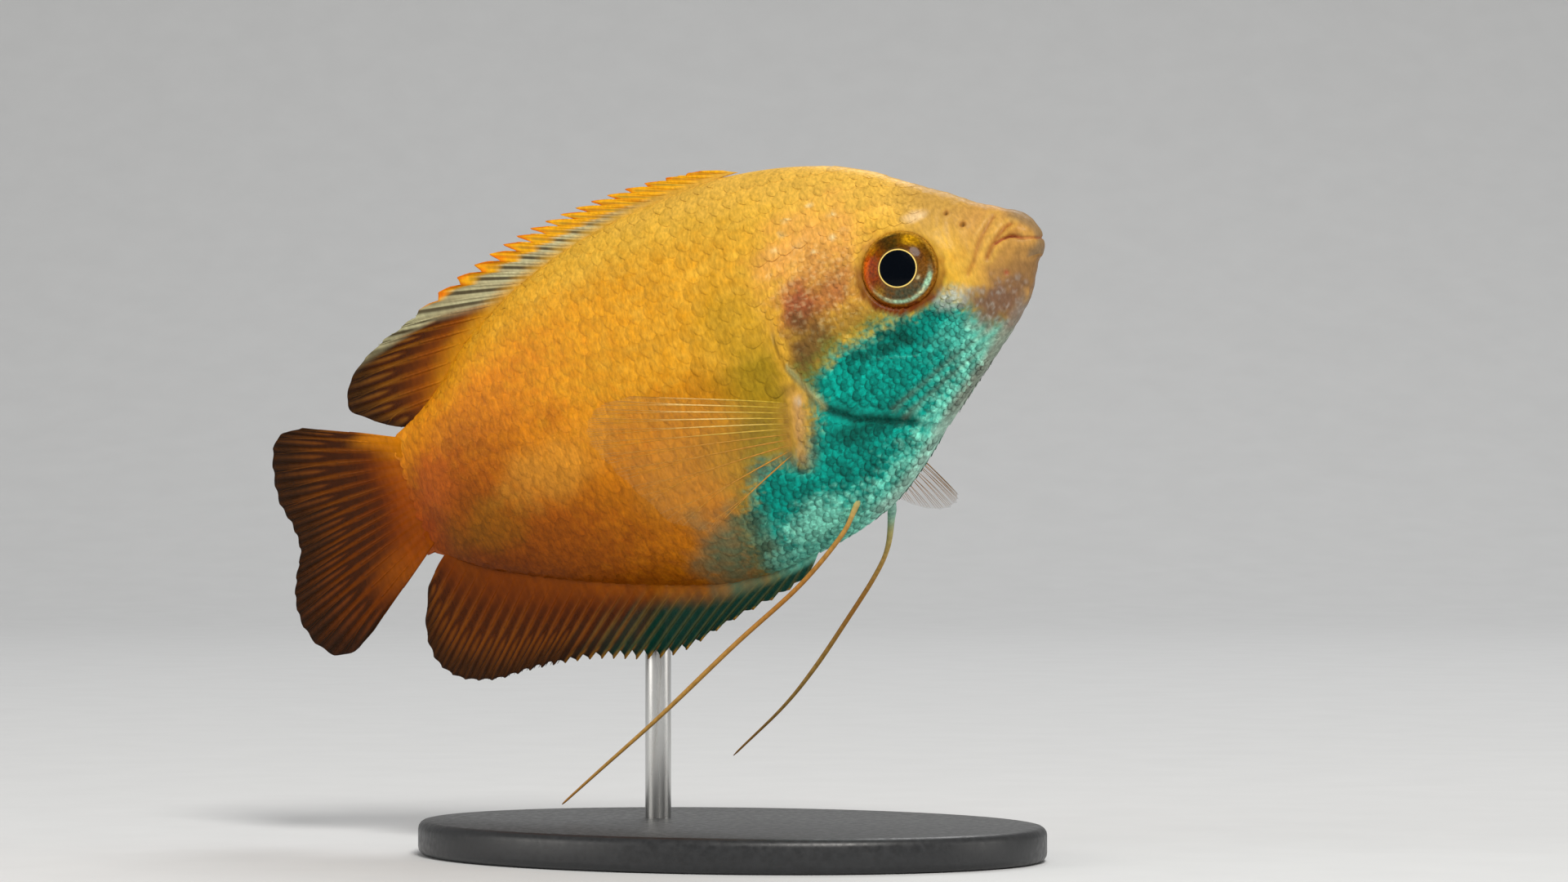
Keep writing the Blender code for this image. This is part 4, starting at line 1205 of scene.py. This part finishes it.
def paintPectoral(share, out, spot, local):
    if local is not None:
        return np.tile(linear("film"), (len(out), 1)), 0 * out
    streak = streaks(pectoral, share, out, 7)
    colour = np.tile(linear("filmRoot"), (len(out), 1))
    colour = over(colour, "filmLow", ease((out - 0.3) / 0.3) + ease((share - 0.45) / 0.2))
    # painted highlights: bright glints along the middle of the upper rays
    rayGlint = bump(out - 0.56 + 0.5 * share, 0.2) * ease((0.62 - share) / 0.3)
    colour = over(colour, "filmRay", rayGlint * (0.85 + 0.6 * streak))
    return over(colour, "film", 0.8 * ease((out - 0.8) / 0.2)), 0 * out


def makeFins():
    tissue = livingMaterial("fin membrane", finishes["fin"], Alpha=0.92)
    bone = livingMaterial("fin ray", finishes["ray"])
    film = livingMaterial("clear fin membrane", finishes["fin"], Alpha=0.07)
    right = pectoralPlace(-1, pectoral["rightTips"], pectoral["rightArch"])
    left = pectoralPlace(1, pectoral["leftTips"], pectoral["leftArch"])
    for name, fin, place, paint, material, node in (
        ("dorsal", dorsal, dorsalPlace, paintDorsal, tissue, "dorsal_fin"),
        ("anal", anal, analPlace, paintAnal, tissue, "anal_fin"),
        ("caudal", caudal, caudalPlace, paintCaudal, tissue, "tail_fin"),
        ("pectoralRight", pectoral, right, paintPectoral, film, "pectoral_fin_right"),
        ("pectoralLeft", pectoral, left, paintPectoral, film, "pectoral_fin_left"),
    ):
        membrane(name + "Membrane", fin, place, paint, material, (node,))
        raysOf(name + "Rays", fin, place, paint, bone)


makeFins()
print("fins made")


# Feelers: long threads from the breast, as (back, up, side) points
feeler = {
    "rings": 90, "sides": 10, "root": 0.22, "middle": 0.14, "tip": 0.06, "blend": 0.1, "ringShade": 0.1,
    "right": [
        (14.5, -9.5, -1.3), (15.3, -10.5, -1.6), (16.5, -11.6, -1.8), (19.7, -13.4, -2.1),
        (24.1, -15.2, -2.7), (29.5, -17.5, -3.3), (34.3, -19.3, -3.8), (36.9, -20.25, -4.0),
    ],
    "left": [
        (13.9, -10.9, 0.9), (15.3, -12.7, 2.1), (17.0, -14.0, 2.9), (19.6, -15.5, 3.9), (23.3, -17.4, 5.3),
        (27.0, -18.8, 6.8), (32.4, -20.15, 9.0),
    ],
}


def makeFeelers():
    material = livingMaterial("feeler", finishes["ray"])
    for label, whiteness in (("right", 0.35), ("left", 0.6)):
        route = np.array(feeler[label])[:, (0, 2, 1)]
        shares = np.linspace(0, 1, len(route))
        share = np.linspace(0, 1, feeler["rings"])
        path = np.stack([smooth(np.stack([shares, v], 1), share) for v in route.T], 1)
        into = path[0] - path[2]
        into = into / np.linalg.norm(into) - (0, 0.5 * np.sign(path[0, 1]), 0)
        path = np.concatenate([path[:1] + np.outer((1.0, 0.5), into), path])
        share = np.concatenate([(0, 0), share])
        radii = np.interp(share, [0, 0.2, 0.65, 1], [feeler[k] for k in ("root", "middle", "middle", "tip")])
        radii = radii * (1 + 0.2 * bump(share, 0.04)) * (1 - 0.6 * ease((share - 0.985) / 0.015))
        data, ring = tubes("feeler" + label.title(), path[None], radii[None], feeler["sides"])
        away = share[ring]
        colour = np.tile(linear("feeler"), (len(ring), 1))
        colour = over(colour, "feelerRoot", ease((0.25 - away) / 0.25) + whiteness * 0.6)
        colour = over(colour, "rust", 0.45 * bump(away - 0.45, 0.15) + 0.3 * ease((away - 0.8) / 0.2))
        colour *= (1 - feeler["ringShade"] * (ring % 3 == 0))[:, None]
        setPaint(data, *rootedIn(colour, *markings(path[ring]), away, feeler["blend"]))
        addPiece(data.name, data, material, (f"feeler_{label}_root", f"feeler_{label}_tip"))


makeFeelers()
print("feelers made")


# Stand: a flat oval base, and a rod up into the belly behind the fish's left side
stand = {
    "length": 37.0, "width": 27.0, "thick": 2.0, "bevel": 0.5, "sides": 160,
    "rodBack": 26.4, "rodSide": 2.3, "rodRadius": 0.75, "rodSides": 64,
    "rodTop": -7.4, "rodBevel": 0.02, "rodSunk": 0.4, "pinTop": -4.4, "pinTaper": 0.35, "pinLean": -0.9,
    "pinSunk": 0.05,
}


def plainMaterial(name, tone, uneven, lump, **values):
    # one colour that is lighter and darker in lumps of that size and stretch
    material, nodes, links, shader = newMaterial(name, **values)
    worn = lumps(nodes, links, *lump, tilt=0).outputs["Fac"]
    base = nodes.new("ShaderNodeRGB")
    base.outputs["Color"].default_value = (*tone, 1)
    factor = ranged(nodes, links, worn, 1 - uneven, 1 + uneven)
    links.new(scaledColour(nodes, links, base.outputs["Color"], factor), shader.inputs["Base Color"])
    return material, nodes, links, shader, worn


def metalMaterial(name, tone, metallic, rough, uneven, lump, depth):
    material, nodes, links, shader, worn = plainMaterial(name, tone, uneven, lump, Metallic=metallic)
    links.new(ranged(nodes, links, worn, *rough), shader.inputs["Roughness"])
    roughened(nodes, links, shader, worn, 0.5, depth)
    return material


def upright(name, sizes, foot, top, sides, bevel, taper=1.0, lean=0.0):
    shape = bmesh.new()
    bmesh.ops.create_cone(shape, cap_ends=True, segments=sides, radius1=1, radius2=taper, depth=1)
    bmesh.ops.translate(shape, verts=shape.verts, vec=(0, 0, 0.5))
    bmesh.ops.scale(shape, verts=shape.verts, vec=(sizes[0], sizes[1], top - foot[2]))
    bmesh.ops.translate(shape, verts=[v for v in shape.verts if v.co.z > 0.01], vec=(0, lean, 0))
    bmesh.ops.translate(shape, verts=shape.verts, vec=foot)
    rims = [e for e in shape.edges if len({round(v.co.z, 3) for v in e.verts}) == 1]
    bmesh.ops.bevel(shape, geom=rims, offset=bevel, segments=4, profile=0.5, affect="EDGES", material=-1)
    bmesh.ops.scale(shape, verts=shape.verts, vec=(mm, mm, mm))
    return meshOf(shape, name)


def makeStand():
    paint = metalMaterial("stand paint", (0.02, 0.021, 0.023), 0.0, (0.32, 0.48), 0.2, (0.35,), 0.02)
    brushed = (0.12, (1, 1, 40))
    steel = metalMaterial("stand steel", (0.6, 0.6, 0.59), 1.0, (0.24, 0.32), 0.06, brushed, 0.0006)
    halves = (stand["length"] / 2, stand["width"] / 2)
    base = upright("standBase", halves, (0, 0, 0), stand["thick"], stand["sides"], stand["bevel"])
    addPiece("standBase", base, paint, ("stand_base",), crease=0.6)
    level = alongBody("widest", stand["rodBack"])
    head = posed((stand["rodBack"], stand["rodSide"], level)) / mm
    foot = (head[0], head[1], stand["thick"] - stand["rodSunk"])
    girth = (stand["rodRadius"],) * 2
    rodTop, pinTop = head[2] + stand["rodTop"], head[2] + stand["pinTop"]
    rod = upright("standRod", girth, foot, rodTop, stand["rodSides"], stand["rodBevel"])
    addPiece("standRod", rod, steel, ("stand_rod",), crease=0.6)
    foot = (head[0], head[1], rodTop - stand["pinSunk"])
    narrowing = stand["pinTaper"], stand["pinLean"]
    pin = upright("standPin", girth, foot, pinTop, stand["rodSides"], stand["rodBevel"], *narrowing)
    addPiece("standPin", pin, steel, crease=0.6)


makeStand()
print("stand made")


# Floor with a curved rise behind the fish, soft lights, and the camera
studio = {
    "azimuth": math.radians(20), "distance": 0.33, "target": (0.0032826, 0, 0.023785), "lens": 133.03,
    "near": 0.7, "far": 0.42, "rise": 0.35, "wall": 0.9, "width": 2.4, "sky": 0.28,
}
warm, white = (1.0, 0.97, 0.92), (1.0, 1.0, 1.0)
# lamps: name, azimuth from the camera towards the snout, elevation, distance, size, power and tone
lamps = [
    ("key", 12, 42, 0.5, 0.16, 1.88, warm),
    ("fill", -72, 12, 0.6, 0.4, 1.1, warm),
    ("front", 80, 10, 0.6, 0.3, 0.5, warm),
    ("back", 165, 50, 0.6, 0.3, 1.0, white),
]


def makeFloor():
    shape = bmesh.new()
    bmesh.ops.create_grid(shape, x_segments=2, y_segments=80, size=1)
    flat = studio["near"] + studio["far"]
    arc = studio["rise"] * math.pi / 2
    for vertex in shape.verts:
        way = (vertex.co.y + 1) / 2 * (flat + arc + studio["wall"])
        angle = min(max(way - flat, 0) / studio["rise"], math.pi / 2)
        depth = min(way, flat) - studio["near"] + studio["rise"] * math.sin(angle)
        height = studio["rise"] * (1 - math.cos(angle)) + max(way - flat - arc, 0)
        vertex.co = (vertex.co.x * studio["width"] / 2, depth, height)
    turn = Matrix.Rotation(studio["azimuth"], 3, "Z")
    bmesh.ops.rotate(shape, verts=shape.verts, matrix=turn)
    data = meshOf(shape, "studioFloor")
    data.shade_smooth()
    data.materials.append(plainMaterial("studio paper", (0.72, 0.73, 0.74), 0.015, (6.0,), Roughness=0.85)[0])
    floor = bpy.data.objects.new("studioFloor", data)
    bpy.context.scene.collection.objects.link(floor)


def addLight(name, azimuth, elevation, distance, size, power, tone):
    data = bpy.data.lights.new(name, "AREA")
    data.shape = "DISK"
    data.size = size
    data.energy = power
    data.color = tone
    light = bpy.data.objects.new(name, data)
    turn, rise = studio["azimuth"] + math.radians(azimuth), math.radians(elevation)
    way = Vector((math.sin(turn) * math.cos(rise), -math.cos(turn) * math.cos(rise), math.sin(rise)))
    light.location = Vector(studio["target"]) + way * distance
    light.rotation_euler = way.to_track_quat("Z", "Y").to_euler()
    bpy.context.scene.collection.objects.link(light)


def makeCamera():
    data = bpy.data.cameras.new("camera")
    data.lens = studio["lens"]
    data.sensor_width = 36
    data.clip_start = 0.001
    camera = bpy.data.objects.new("camera", data)
    way = Vector((math.sin(studio["azimuth"]), -math.cos(studio["azimuth"]), 0))
    camera.location = Vector(studio["target"]) + way * studio["distance"]
    camera.rotation_euler = way.to_track_quat("Z", "Y").to_euler()
    bpy.context.scene.collection.objects.link(camera)
    bpy.context.scene.camera = camera


makeFloor()
for lamp in lamps:
    addLight(*lamp)
makeCamera()
world = bpy.data.worlds.new("studio")
world.use_nodes = True
sky = world.node_tree.nodes["Background"]
sky.inputs["Color"].default_value = (1.0, 0.99, 0.97, 1)
sky.inputs["Strength"].default_value = studio["sky"]
bpy.context.scene.world = world
bpy.context.scene.view_settings.view_transform = "Standard"
print("studio made")
